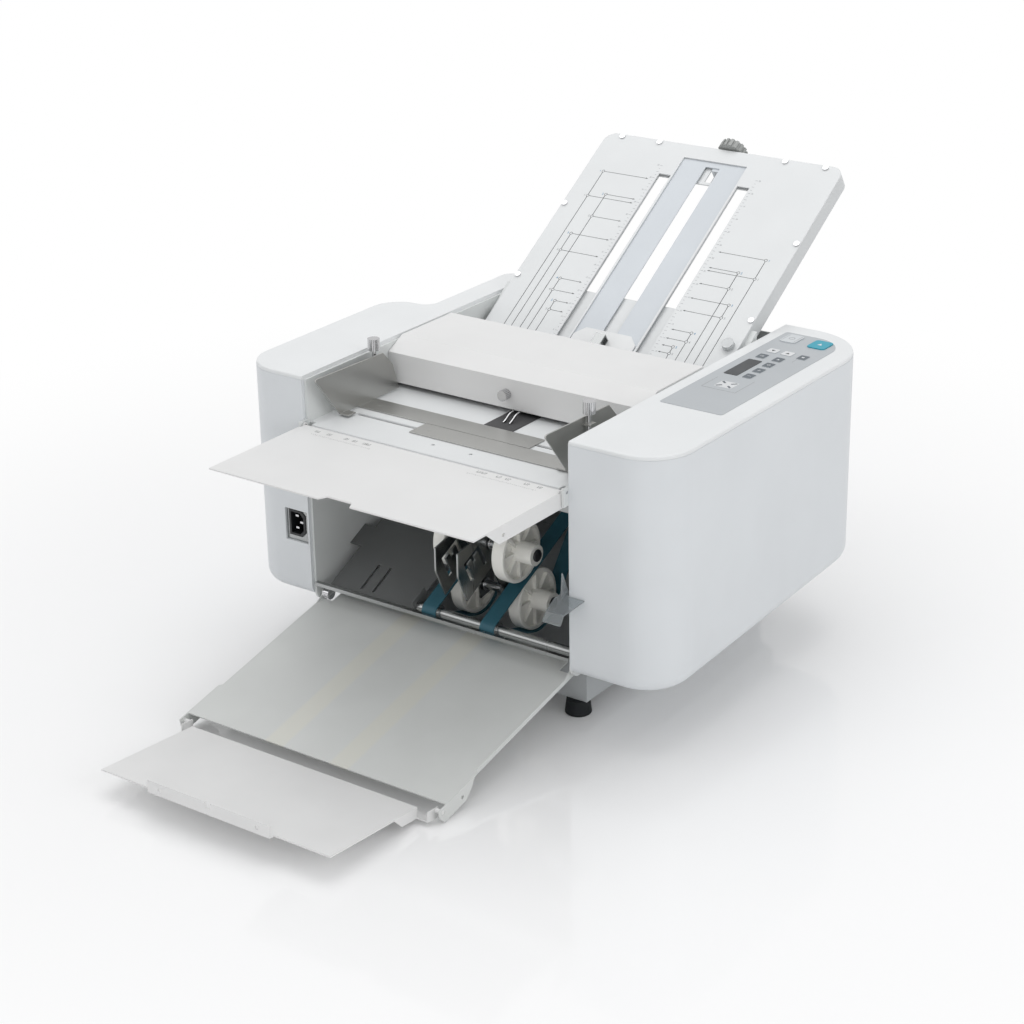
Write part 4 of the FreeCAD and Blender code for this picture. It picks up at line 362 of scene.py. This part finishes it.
class Print:
    """Flat printed shapes gathered on one plane and made into one thin mesh."""

    def __init__(self, origin, across, along):
        across, along = Vector(across), Vector(along)
        normal = across.cross(along)
        turn = Matrix((across, along, normal)).transposed().to_4x4()
        self.place = Matrix.Translation(Vector(origin)) @ turn
        self.mesh = bmesh.new()

    def polygon(self, points):
        """One flat face through points listed anticlockwise."""
        corners = [self.mesh.verts.new((x, y, PRINT_LIFT)) for x, y in points]
        self.mesh.faces.new(corners)

    def stroke(self, start, end, width):
        """A straight line of some width between two points."""
        heading = (Vector(end) - Vector(start)).normalized()
        side = Vector((-heading.y, heading.x)) * width / 2
        start, end = Vector(start), Vector(end)
        self.polygon([start - side, end - side, end + side, start + side])

    def box(self, x, y, width, height):
        """A filled rectangle about a point."""
        self.polygon([(x - width / 2, y - height / 2), (x + width / 2, y - height / 2),
                      (x + width / 2, y + height / 2), (x - width / 2, y + height / 2)])

    def ring(self, x, y, radius, width, sides=24):
        """A circle line of some width about a point."""
        for step in range(sides):
            angles = (2 * math.pi * step / sides, 2 * math.pi * (step + 1) / sides)
            inner, outer = radius - width / 2, radius + width / 2
            self.polygon([(x + size * math.cos(angle), y + size * math.sin(angle))
                          for size, angle in ((inner, angles[0]), (outer, angles[0]),
                                              (outer, angles[1]), (inner, angles[1]))])

    def text(self, words, x, y, height):
        """Plain numbers, centred on a point."""
        curve = bpy.data.curves.new("words", "FONT")
        curve.body = words
        curve.size = height
        curve.align_x = "CENTER"
        curve.align_y = "CENTER"
        curve.resolution_u = 2
        holder = bpy.data.objects.new("words", curve)
        bpy.context.collection.objects.link(holder)
        bpy.context.view_layer.update()
        mesh = bpy.data.meshes.new_from_object(holder)
        mesh.transform(Matrix.Translation((x, y, PRINT_LIFT)))
        self.mesh.from_mesh(mesh)
        bpy.data.objects.remove(holder)
        bpy.data.curves.remove(curve)
        bpy.data.meshes.remove(mesh)

    def finish(self, name, material, body):
        """Raise the shapes a little and turn them into a piece."""
        raised = bmesh.ops.extrude_face_region(self.mesh, geom=self.mesh.faces[:])
        moved = [item for item in raised["geom"] if isinstance(item, bmesh.types.BMVert)]
        bmesh.ops.translate(self.mesh, verts=moved, vec=(0, 0, PRINT_THICKNESS))
        bmesh.ops.recalc_face_normals(self.mesh, faces=self.mesh.faces[:])
        bmesh.ops.transform(self.mesh, matrix=self.place, verts=self.mesh.verts[:])
        add_piece(name, mesh_from(self.mesh, name), material, body)


# Fold scale: column places from the plate's middle, rows down from its top edge.
LEFT_SCALE = ((-133.5, 60.7, 100.6), (-111.2, 94.4, 129.8), (-123.2, 159.9, 186.3),
              (-100.8, 226.2, 244.0), (-89.4, 258.5, 272.1))
RIGHT_SCALE = ((131.9, 148.0, 176.4), (108.7, 171.9, 196.1), (120.1, 217.9, 236.8),
               (96.7, 264.8, 277.7), (85.0, 287.8, 297.5))
SCALE_ARROW = 71.0 * MM
SCALE_FOOT = 343.0 * MM
SCALE_RING = 1.75 * MM
SCALE_RING_LINE = 0.5 * MM
RING_REACH = 1.9 * MM
ARROW_TIP = 0.4 * MM
ARROW_TAIL = 2.6 * MM
ARROW_HALF = 0.9 * MM
NUMBER_OFFSET = 4.2 * MM
NUMBER_HEIGHT = 4.2 * MM
LINE_WIDTH = 0.75 * MM
ROW_LINE = 0.7 * LINE_WIDTH
RULER_TOP = 38.0
RULER_LENGTH = 300.0
RULER_STEP = 5.0
RULER_SHIFT = 5
RULER_PLACE = 64.5 * MM
RULER_LONG = 3.4 * MM
RULER_SHORT = 2.0 * MM
RULER_LINE = 0.35 * MM
RULER_NUMBER_PLACE = 68.6 * MM
RULER_NUMBER_HEIGHT = 2.8 * MM
PLATE_SHEET = 1.5 * MM


def plate_print():
    """A printed plane on the fold plate, from the middle of its top edge."""
    low, high = corner("fold_plate_face")
    along = Vector((0, math.cos(PLATE_TILT), math.sin(PLATE_TILT)))
    top = Vector(((low.x + high.x) / 2, high.y - PLATE_SHEET * math.sin(PLATE_TILT), high.z))
    return Print(top, ACROSS, along)


def make_fold_scale():
    """Lines with rings and arrows that say where the stop goes for each fold."""
    ink, blue, pale = plate_print(), plate_print(), plate_print()
    for group, side in ((LEFT_SCALE, -1), (RIGHT_SCALE, 1)):
        for number, (column, *rows) in enumerate(group, start=1):
            x = column * MM
            arrow = side * SCALE_ARROW
            for count, row in enumerate(rows):
                y = -row * MM
                ink.ring(x, y, SCALE_RING, SCALE_RING_LINE)
                ink.stroke((x - side * RING_REACH, y), (arrow, y), ROW_LINE)
                tip = arrow - side * ARROW_TIP
                tail = arrow + side * ARROW_TAIL
                ink.polygon([(tip, y), (tail, y - ARROW_HALF), (tail, y + ARROW_HALF)])
                label = blue if count == 0 else pale
                label.text(str(number), x + side * NUMBER_OFFSET, y, NUMBER_HEIGHT)
            first, second = rows[0] * MM, rows[1] * MM
            ink.stroke((x, -first - RING_REACH), (x, -second + RING_REACH), LINE_WIDTH)
            ink.stroke((x, -second - RING_REACH), (x, -SCALE_FOOT), LINE_WIDTH)
        steps = int(RULER_LENGTH / RULER_STEP)
        for step in range(steps + 1):
            length = RULER_LONG if step % 2 == 0 else RULER_SHORT
            y = -(RULER_TOP + step * RULER_STEP) * MM
            x = side * RULER_PLACE
            pale.stroke((x - length / 2, y), (x + length / 2, y), RULER_LINE)
            if step % 4 == 0:
                number = int((RULER_LENGTH - step * RULER_STEP) / 10) + RULER_SHIFT
                pale.text(str(number), side * RULER_NUMBER_PLACE, y, RULER_NUMBER_HEIGHT)
    ink.finish("fold_scale_lines", INK, "machine")
    blue.finish("fold_scale_numbers", BLUE_INK, "machine")
    pale.finish("fold_scale_ruler", PALE_INK, "machine")


# Paper width marks: places from the middle, and the row's place from the table's edge.
FLAP_MARKS = ((-1, -12.0 * MM, (138.0, 122.0, 99.0, 88.0, 74.0, 70.0)),
              (1, -9.0 * MM, (140.0, 124.0, 101.0, 90.0, 72.0, 66.0)))
FLAP_EDGE = 3.5 * MM
MARK_FOOT = 1.5 * MM
MARK_TOP = 5.5 * MM
MARK_ARM = 5 * MM
MARK_LINE = 0.45 * MM
MARK_NUMBER = 21
MARK_NUMBER_STEP = 2
MARK_NUMBER_OFFSET = 3.5 * MM
MARK_NUMBER_RISE = 4 * MM
MARK_NUMBER_HEIGHT = 3.6 * MM
TICK_INSET = 6
TICK_STEP = 2.5
TICK_DROP = 4.5 * MM
TICK_LONG = 2.2 * MM
TICK_SHORT = 1.2 * MM
TICK_LINE = 0.3 * MM


def make_flap_scale():
    """Paper width marks at the flap's rear edge."""
    low, high = corner("feed_flap")
    table_low, table_high = corner("feed_table")
    origin = ((low.x + high.x) / 2, table_low.y - FLAP_EDGE, table_high.z)
    marks, numbers = Print(origin, ACROSS, AWAY), Print(origin, ACROSS, AWAY)
    for side, row, places in FLAP_MARKS:
        for count, place in enumerate(places):
            x = side * place * MM
            marks.stroke((x, row + MARK_FOOT), (x, row + MARK_TOP), MARK_LINE)
            marks.stroke((x, row + MARK_FOOT), (x + side * MARK_ARM, row + MARK_FOOT), MARK_LINE)
            numbers.text(str(MARK_NUMBER - MARK_NUMBER_STEP * count),
                         x + side * MARK_NUMBER_OFFSET, row + MARK_NUMBER_RISE,
                         MARK_NUMBER_HEIGHT)
        first, last = places[0] + TICK_INSET, places[-1] - TICK_INSET
        for step in range(int((first - last) / TICK_STEP)):
            x = side * (last + step * TICK_STEP) * MM
            y = row - TICK_DROP
            length = TICK_LONG if step % 4 == 0 else TICK_SHORT
            marks.stroke((x, y), (x, y - length), TICK_LINE)
    marks.finish("flap_scale_marks", INK, "flap")
    numbers.finish("flap_scale_numbers", INK, "flap")


def close_loops(work, loops):
    """Join loops of equal length by four-sided faces and close both ends."""
    count = len(loops[0])
    for lower, upper in zip(loops, loops[1:]):
        for index in range(count):
            after = (index + 1) % count
            work.faces.new((lower[index], lower[after], upper[after], upper[index]))
    work.faces.new(loops[-1])
    work.faces.new(loops[0][::-1])


def rounded_plate(name, x, y, width, depth, level, radius, thickness, material, body,
                  segments=5):
    """A thin rounded rectangle lying flat, with a small chamfer round its top."""
    work = bmesh.new()
    rings = ((0.0, 0.0), (0.0, thickness * 0.6), (thickness * 0.4, thickness))
    loops = []
    for inset, lift in rings:
        loop = []
        turn = max(radius - inset, radius * 0.2)
        for quarter, (sx, sy) in enumerate(((1, 1), (-1, 1), (-1, -1), (1, -1))):
            centre = (x + sx * (width / 2 - inset - turn), y + sy * (depth / 2 - inset - turn))
            for step in range(segments + 1):
                angle = math.pi / 2 * (quarter + step / segments)
                loop.append(work.verts.new((centre[0] + turn * math.cos(angle),
                                            centre[1] + turn * math.sin(angle),
                                            level + lift)))
        loops.append(loop)
    close_loops(work, loops)
    add_piece(name, mesh_from(work, name), material, body)


# Keys on the control film: place from the film's front left corner, and size.
SMALL_KEYS = ((38.6, 113.4), (38.6, 133.6), (38.6, 153.8), (38.6, 174.0), (18.2, 175.3),
              (57.3, 194.0))
KEY_SIZE = (10.4 * MM, 12.9 * MM)
KEY_CORNER = 1.3 * MM
KEY_SINK = 0.02 * MM
ARROW_KEYS = ((19.3, 196.8), (37.3, 196.8))
ARROW_SIZE = 12.0 * MM
KEY_PRINT = 0.08 * MM
KEY_LINE = 0.6 * MM
KEY_BAR_HALF = 2 * MM
KEY_RING = 1.6 * MM
KEY_TRIANGLE = ((-1.8 * MM, -1.4 * MM), (1.8 * MM, -1.4 * MM), (0, 2 * MM))
KEY_ROWS = (-1.5 * MM, 0, 1.5 * MM)
KEY_ROW_HALF = 2.4 * MM
KEY_ROW_LINE = 0.45 * MM
KEY_SQUARE = 3 * MM
ARROW_HALF_WIDTH = 2.2 * MM
ARROW_BASE = 1.8 * MM
ARROW_HEAD = 2.4 * MM


def film_corner():
    """The control film's front left corner, at its top."""
    low, high = corner("control_film")
    return Vector((low.x, low.y, high.z))


def make_keys():
    """Coloured key tops over the film's raised fields, each with a plain sign."""
    origin = film_corner()
    level = origin.z - KEY_SINK
    signs = Print(origin + Vector((0, 0, KEY_PRINT)), ACROSS, AWAY)
    dark_signs = Print(origin + Vector((0, 0, KEY_PRINT)), ACROSS, AWAY)
    for count, (x, y) in enumerate(SMALL_KEYS):
        x, y = x * MM, y * MM
        rounded_plate(f"film_key_{count + 1}", origin.x + x, origin.y + y, *KEY_SIZE,
                      level, KEY_CORNER, KEY_PRINT, KEY_GREY, "machine")
        if count in (0, 1):
            signs.stroke((x - KEY_BAR_HALF, y), (x + KEY_BAR_HALF, y), KEY_LINE)
        if count == 1:
            signs.stroke((x, y - KEY_BAR_HALF), (x, y + KEY_BAR_HALF), KEY_LINE)
        if count == 2:
            signs.ring(x, y, KEY_RING, KEY_LINE)
        if count == 3:
            signs.polygon([(x + dx, y + dy) for dx, dy in KEY_TRIANGLE])
        if count == 4:
            for row in KEY_ROWS:
                signs.stroke((x - KEY_ROW_HALF, y + row), (x + KEY_ROW_HALF, y + row),
                             KEY_ROW_LINE)
        if count == 5:
            signs.box(x, y, KEY_SQUARE, KEY_SQUARE)
    for count, (x, y) in enumerate(ARROW_KEYS):
        x, y = x * MM, y * MM
        rounded_plate(f"arrow_key_{count + 1}", origin.x + x, origin.y + y, ARROW_SIZE,
                      ARROW_SIZE, level, KEY_CORNER, KEY_PRINT, KEY_WHITE, "machine")
        way = 1 if count else -1
        foot = y - way * ARROW_BASE
        arrow = [(x - ARROW_HALF_WIDTH, foot), (x, y + way * ARROW_HEAD),
                 (x + ARROW_HALF_WIDTH, foot)]
        dark_signs.polygon(arrow[::way])
    signs.finish("key_signs", KEY_WHITE, "machine")
    dark_signs.finish("arrow_signs", INK, "machine")


FILM_FIELD_DEPTH = 0.4 * MM
FILM_LINE = 0.4 * MM
FILM_FRAME = (12 * MM, 52 * MM, 62 * MM, 102 * MM)
FRAME_GAP = 0.93
DIVIDER = ((54 * MM, 186 * MM), (54 * MM, 176 * MM))
SIGN_MIDDLE = (32 * MM, 79 * MM)
SIGN_FIELD = (20 * MM, 18 * MM)
SIGN_STROKE = 2.4 * MM
SIGN_INNER = (3.5 * MM, 3.0 * MM)
SIGN_OUTER = (8.5 * MM, 7.5 * MM)


def make_film_print():
    """Fine frame lines and a plain fold sign printed on the film."""
    origin = film_corner()
    base = Vector((origin.x, origin.y, origin.z - FILM_FIELD_DEPTH))
    lines = Print(base, ACROSS, AWAY)
    left, right, front, back = FILM_FRAME
    for start, end in (((left, front), (right, front)), ((right, front), (right, back)),
                       ((left, front), (left, back * FRAME_GAP))):
        lines.stroke(start, end, FILM_LINE)
    lines.stroke(*DIVIDER, FILM_LINE)
    lines.finish("film_lines", PALE_INK, "machine")
    white = Print(base, ACROSS, AWAY)
    white.box(*SIGN_MIDDLE, *SIGN_FIELD)
    white.finish("film_sign_field", KEY_WHITE, "machine")
    sign = Print(base + Vector((0, 0, PRINT_THICKNESS)), ACROSS, AWAY)
    x, y = SIGN_MIDDLE
    for sx in (-1, 1):
        for sy in (-1, 1):
            start, end = ((x + sx * reach[0], y + sy * reach[1])
                          for reach in (SIGN_INNER, SIGN_OUTER))
            sign.stroke(start, end, SIGN_STROKE)
    sign.finish("film_sign", KEY_GREY, "machine")


STOP_RING = 3.2 * MM
STOP_RING_LINE = 0.6 * MM
STOP_LINE_PLACE = 7.5 * MM
STOP_LINE_HALF = 10 * MM
STOP_LINE = 0.35 * MM
START_TRIANGLE = ((-2.6 * MM, -2.4 * MM), (2.6 * MM, -2.4 * MM), (0, 3.2 * MM))


def make_button_signs():
    """A ring between two lines on the stop button, a triangle on the start button."""
    low, high = corner("stop_button")
    stop = Print(((low.x + high.x) / 2, (low.y + high.y) / 2, high.z), ACROSS, AWAY)
    stop.ring(0, 0, STOP_RING, STOP_RING_LINE)
    for x in (-STOP_LINE_PLACE, STOP_LINE_PLACE):
        stop.stroke((x, -STOP_LINE_HALF), (x, STOP_LINE_HALF), STOP_LINE)
    stop.finish("stop_sign", PALE_INK, "stop_push")
    low, high = corner("start_button")
    start = Print(((low.x + high.x) / 2, (low.y + high.y) / 2, high.z), ACROSS, AWAY)
    start.polygon(START_TRIANGLE)
    start.finish("start_sign", KEY_WHITE, "start_push")


def tube(name, points, radius, material, body, sides=10):
    """A round wire along a smooth line."""
    curve = bpy.data.curves.new(name, "CURVE")
    curve.dimensions = "3D"
    curve.bevel_depth = radius
    curve.bevel_resolution = 3
    curve.resolution_u = sides
    curve.use_fill_caps = True
    spline = curve.splines.new("BEZIER")
    spline.bezier_points.add(len(points) - 1)
    for knot, point in zip(spline.bezier_points, points):
        knot.co = point
        knot.handle_left_type = "AUTO"
        knot.handle_right_type = "AUTO"
    holder = bpy.data.objects.new(name, curve)
    bpy.context.collection.objects.link(holder)
    bpy.context.view_layer.update()
    mesh = bpy.data.meshes.new_from_object(holder)
    bpy.data.objects.remove(holder)
    add_piece(name, mesh, material, body)


def turned(name, profile, start, axis, material, body, sides=32):
    """A turned piece: (radius, distance) pairs swept about an axis."""
    work = bmesh.new()
    axis = Vector(axis).normalized()
    side = axis.orthogonal().normalized()
    other = axis.cross(side)
    loops = []
    for radius, reach in profile:
        loop = []
        for step in range(sides):
            angle = 2 * math.pi * step / sides
            offset = side * math.cos(angle) * radius + other * math.sin(angle) * radius
            loop.append(work.verts.new(Vector(start) + axis * reach + offset))
        loops.append(loop)
    close_loops(work, loops)
    bmesh.ops.recalc_face_normals(work, faces=work.faces[:])
    mesh = mesh_from(work, name)
    for polygon in mesh.polygons:
        polygon.use_smooth = len(polygon.vertices) == 4
    add_piece(name, mesh, material, body)


def block(name, low, high, material, body):
    """A plain box between two corners."""
    corners = [(x, y, z) for x in (low[0], high[0]) for y in (low[1], high[1])
               for z in (low[2], high[2])]
    sides = [(0, 1, 3, 2), (4, 6, 7, 5), (0, 4, 5, 1), (2, 3, 7, 6), (0, 2, 6, 4),
             (1, 5, 7, 3)]
    mesh = bpy.data.meshes.new(name)
    mesh.from_pydata(corners, [], sides)
    add_piece(name, mesh, material, body)


CAP_PROFILE = ((6.6 * MM, 0), (6.6 * MM, 1.4 * MM), (5.8 * MM, 2.3 * MM),
               (0.2 * MM, 2.3 * MM))
CAP_SEAT = 1.95 * MM
SNAP_PROFILE = ((5.05 * MM, 0), (7.2 * MM, 0), (7.2 * MM, 0.8 * MM), (5.05 * MM, 0.8 * MM))
SNAP_PLACES = (29.4 * MM, 58.2 * MM)


def make_shaft_caps():
    """Black caps on the wheel shafts, and snap rings beside the brackets."""
    for number, (node, body) in enumerate((("exit_shaft_upper", "exit_upper"),
                                           ("exit_shaft_lower", "exit_lower")), start=1):
        low, high = corner(node)
        middle = (low + high) / 2
        turned(f"shaft_cap_{number}", CAP_PROFILE, (high.x - CAP_SEAT, middle.y, middle.z),
               ACROSS, BLACK, body)
        for count, place in enumerate(SNAP_PLACES, start=1):
            turned(f"snap_ring_{number}_{count}", SNAP_PROFILE,
                   (low.x + place, middle.y, middle.z), ACROSS, CHROME, body)


BLADE_PLACES = ((-3 * MM, -7 * MM), (3 * MM, 0), (-3 * MM, 7 * MM))
BLADE_HALF = (2.1 * MM, 1.1 * MM)
BLADE_FRONT = 3.8 * MM
BLADE_BACK = 6.1 * MM


def make_inlet_blades():
    """Bright sleeves on the three blades in the mains inlet."""
    low, high = corner("power_inlet")
    middle = (low + high) / 2
    half_width, half_height = BLADE_HALF
    for count, (across, up) in enumerate(BLADE_PLACES, start=1):
        x, z = middle.x + across, middle.z + up
        block(f"inlet_blade_{count}", (x - half_width, low.y + BLADE_FRONT, z - half_height),
              (x + half_width, high.y - BLADE_BACK, z + half_height), CHROME, "machine")


SPRING_OFFSET = 4 * MM
SPRING_RADIUS = 0.9 * MM
SPRING_START = (15 * MM, 1.6 * MM)
SPRING_BEND = (19 * MM, 3.2 * MM)
SPRING_RISE = (27 * MM, 7.6 * MM)
SPRING_END = (34 * MM, -1 * MM)


def make_separator_springs():
    """Two bent wires over the separator pad."""
    low, high = corner("separator")
    middle = (low.x + high.x) / 2
    for count, x in enumerate((middle - SPRING_OFFSET, middle + SPRING_OFFSET), start=1):
        points = [(x, low.y + away, low.z + up)
                  for away, up in (SPRING_START, SPRING_BEND, SPRING_RISE)]
        points.append((x, low.y + SPRING_END[0], high.z + SPRING_END[1]))
        tube(f"separator_spring_{count}", points, SPRING_RADIUS, CHROME, "machine")


make_shaft_caps()
make_inlet_blades()
make_separator_springs()
make_fold_scale()
make_flap_scale()
make_keys()
make_film_print()
make_button_signs()


# Stage, light and camera

CAMERA_AZIMUTH = math.radians(36.13)
CAMERA_ELEVATION = math.radians(23.01)
CAMERA_ROLL = math.radians(-1.01)
CAMERA_PLACE = Vector((1.3799, -1.88497, 1.16414))
CAMERA_LENS = 83.42
SENSOR_WIDTH = 36.0
CAMERA_REACH = 100.0
FLOOR_HALF = 30.0
FLOOR_COLOUR = (0.97, 0.97, 0.972, 1)
FLOOR_SPECULAR = 0.8
FLOOR_ROUGHNESS = (0.06, 0.10)
FLOOR_NOISE = 3.0
GLOW_STARTS = 0.30
GLOW_FULL = 1.25
GLOW_NEAR = 0.04
GLOW_FAR = 1.0
WORLD_COLOUR = (0.985, 0.99, 1.0, 1)
WORLD_LIGHT = 0.62
# Lamps: name, place, target, size and power in watts.
LAMPS = (("overhead", (-0.3, 0.5, 2.6), (0, 0.05, 0.2), (2.6, 2.2), 26),
         ("right_side", (2.6, -0.2, 1.2), (0.2, 0, 0.15), (1.6, 1.6), 12),
         ("front_left", (-1.9, -2.0, 1.6), (-0.1, -0.1, 0.15), (1.6, 1.6), 5),
         ("front_low", (0.75, -1.75, 0.42), (0.05, -0.15, 0.15), (0.7, 0.5), 3))


def seen_or_mirrored(tree):
    """The value that is 1 for camera, glossy and transmission rays, else 0."""
    path = tree.nodes.new("ShaderNodeLightPath")
    seen = tree.nodes.new("ShaderNodeMath")
    seen.operation = "MAXIMUM"
    tree.links.new(path.outputs["Is Camera Ray"], seen.inputs[0])
    tree.links.new(path.outputs["Is Glossy Ray"], seen.inputs[1])
    through = tree.nodes.new("ShaderNodeMath")
    through.operation = "MAXIMUM"
    tree.links.new(seen.outputs["Value"], through.inputs[0])
    tree.links.new(path.outputs["Is Transmission Ray"], through.inputs[1])
    return through.outputs["Value"]


def make_floor():
    """A pale glossy floor that fades to white away from the machine."""
    mesh = bpy.data.meshes.new("floor")
    half = FLOOR_HALF
    mesh.from_pydata([(-half, -half, 0), (half, -half, 0), (half, half, 0), (-half, half, 0)],
                     [], [(0, 1, 2, 3)])
    floor = bpy.data.objects.new("floor", mesh)
    bpy.context.collection.objects.link(floor)
    material, tree, shader = new_material("floor_gloss")
    shader.inputs["Base Color"].default_value = FLOOR_COLOUR
    shader.inputs["Specular IOR Level"].default_value = FLOOR_SPECULAR
    gloss = remap(tree, add_noise(tree, FLOOR_NOISE, 2.0), *FLOOR_ROUGHNESS)
    tree.links.new(gloss, shader.inputs["Roughness"])
    output = tree.nodes["Material Output"]
    where = tree.nodes.new("ShaderNodeTexCoord")
    away = tree.nodes.new("ShaderNodeVectorMath")
    away.operation = "LENGTH"
    tree.links.new(where.outputs["Object"], away.inputs[0])
    fade = tree.nodes.new("ShaderNodeMapRange")
    fade.interpolation_type = "SMOOTHSTEP"
    fade.inputs["From Min"].default_value = GLOW_STARTS
    fade.inputs["From Max"].default_value = GLOW_FULL
    fade.inputs["To Min"].default_value = GLOW_NEAR
    fade.inputs["To Max"].default_value = GLOW_FAR
    tree.links.new(away.outputs["Value"], fade.inputs["Value"])
    glow = tree.nodes.new("ShaderNodeEmission")
    share = tree.nodes.new("ShaderNodeMath")
    share.operation = "MULTIPLY"
    tree.links.new(seen_or_mirrored(tree), share.inputs[0])
    tree.links.new(fade.outputs["Result"], share.inputs[1])
    mix = tree.nodes.new("ShaderNodeMixShader")
    tree.links.new(share.outputs["Value"], mix.inputs["Fac"])
    tree.links.new(shader.outputs["BSDF"], mix.inputs[1])
    tree.links.new(glow.outputs["Emission"], mix.inputs[2])
    tree.links.new(mix.outputs["Shader"], output.inputs["Surface"])
    mesh.materials.append(material)


def make_world():
    """Plain soft light, and a white ground where it is seen or mirrored."""
    world = bpy.data.worlds.new("studio")
    bpy.context.scene.world = world
    world.use_nodes = True
    tree = world.node_tree
    plain = tree.nodes["Background"]
    plain.inputs["Color"].default_value = WORLD_COLOUR
    plain.inputs["Strength"].default_value = WORLD_LIGHT
    white = tree.nodes.new("ShaderNodeBackground")
    white.inputs["Strength"].default_value = 1.0
    mix = tree.nodes.new("ShaderNodeMixShader")
    tree.links.new(seen_or_mirrored(tree), mix.inputs["Fac"])
    tree.links.new(plain.outputs["Background"], mix.inputs[1])
    tree.links.new(white.outputs["Background"], mix.inputs[2])
    tree.links.new(mix.outputs["Shader"], tree.nodes["World Output"].inputs["Surface"])


def add_lamp(name, place, target, size, power):
    """A soft rectangular lamp that faces its target."""
    lamp = bpy.data.lights.new(name, "AREA")
    lamp.shape = "RECTANGLE"
    lamp.size, lamp.size_y = size
    lamp.energy = power
    holder = bpy.data.objects.new(name, lamp)
    holder.location = place
    heading = Vector(target) - Vector(place)
    holder.rotation_euler = heading.to_track_quat("-Z", "Y").to_euler()
    bpy.context.collection.objects.link(holder)


def make_camera():
    """The camera that sees the machine from the front right and above."""
    back = Vector((math.sin(CAMERA_AZIMUTH) * math.cos(CAMERA_ELEVATION),
                   -math.cos(CAMERA_AZIMUTH) * math.cos(CAMERA_ELEVATION),
                   math.sin(CAMERA_ELEVATION)))
    right = Vector((0, 0, 1)).cross(back).normalized()
    top = back.cross(right)
    across = right * math.cos(CAMERA_ROLL) + top * math.sin(CAMERA_ROLL)
    upward = top * math.cos(CAMERA_ROLL) - right * math.sin(CAMERA_ROLL)
    camera = bpy.data.cameras.new("camera")
    camera.lens = CAMERA_LENS
    camera.sensor_width = SENSOR_WIDTH
    camera.clip_end = CAMERA_REACH
    holder = bpy.data.objects.new("camera", camera)
    turn = Matrix((across, upward, back)).transposed().to_4x4()
    holder.matrix_world = Matrix.Translation(CAMERA_PLACE) @ turn
    bpy.context.collection.objects.link(holder)
    bpy.context.scene.camera = holder


bpy.context.scene.view_settings.view_transform = "Standard"
make_floor()
make_world()
make_camera()
for lamp in LAMPS:
    add_lamp(*lamp)
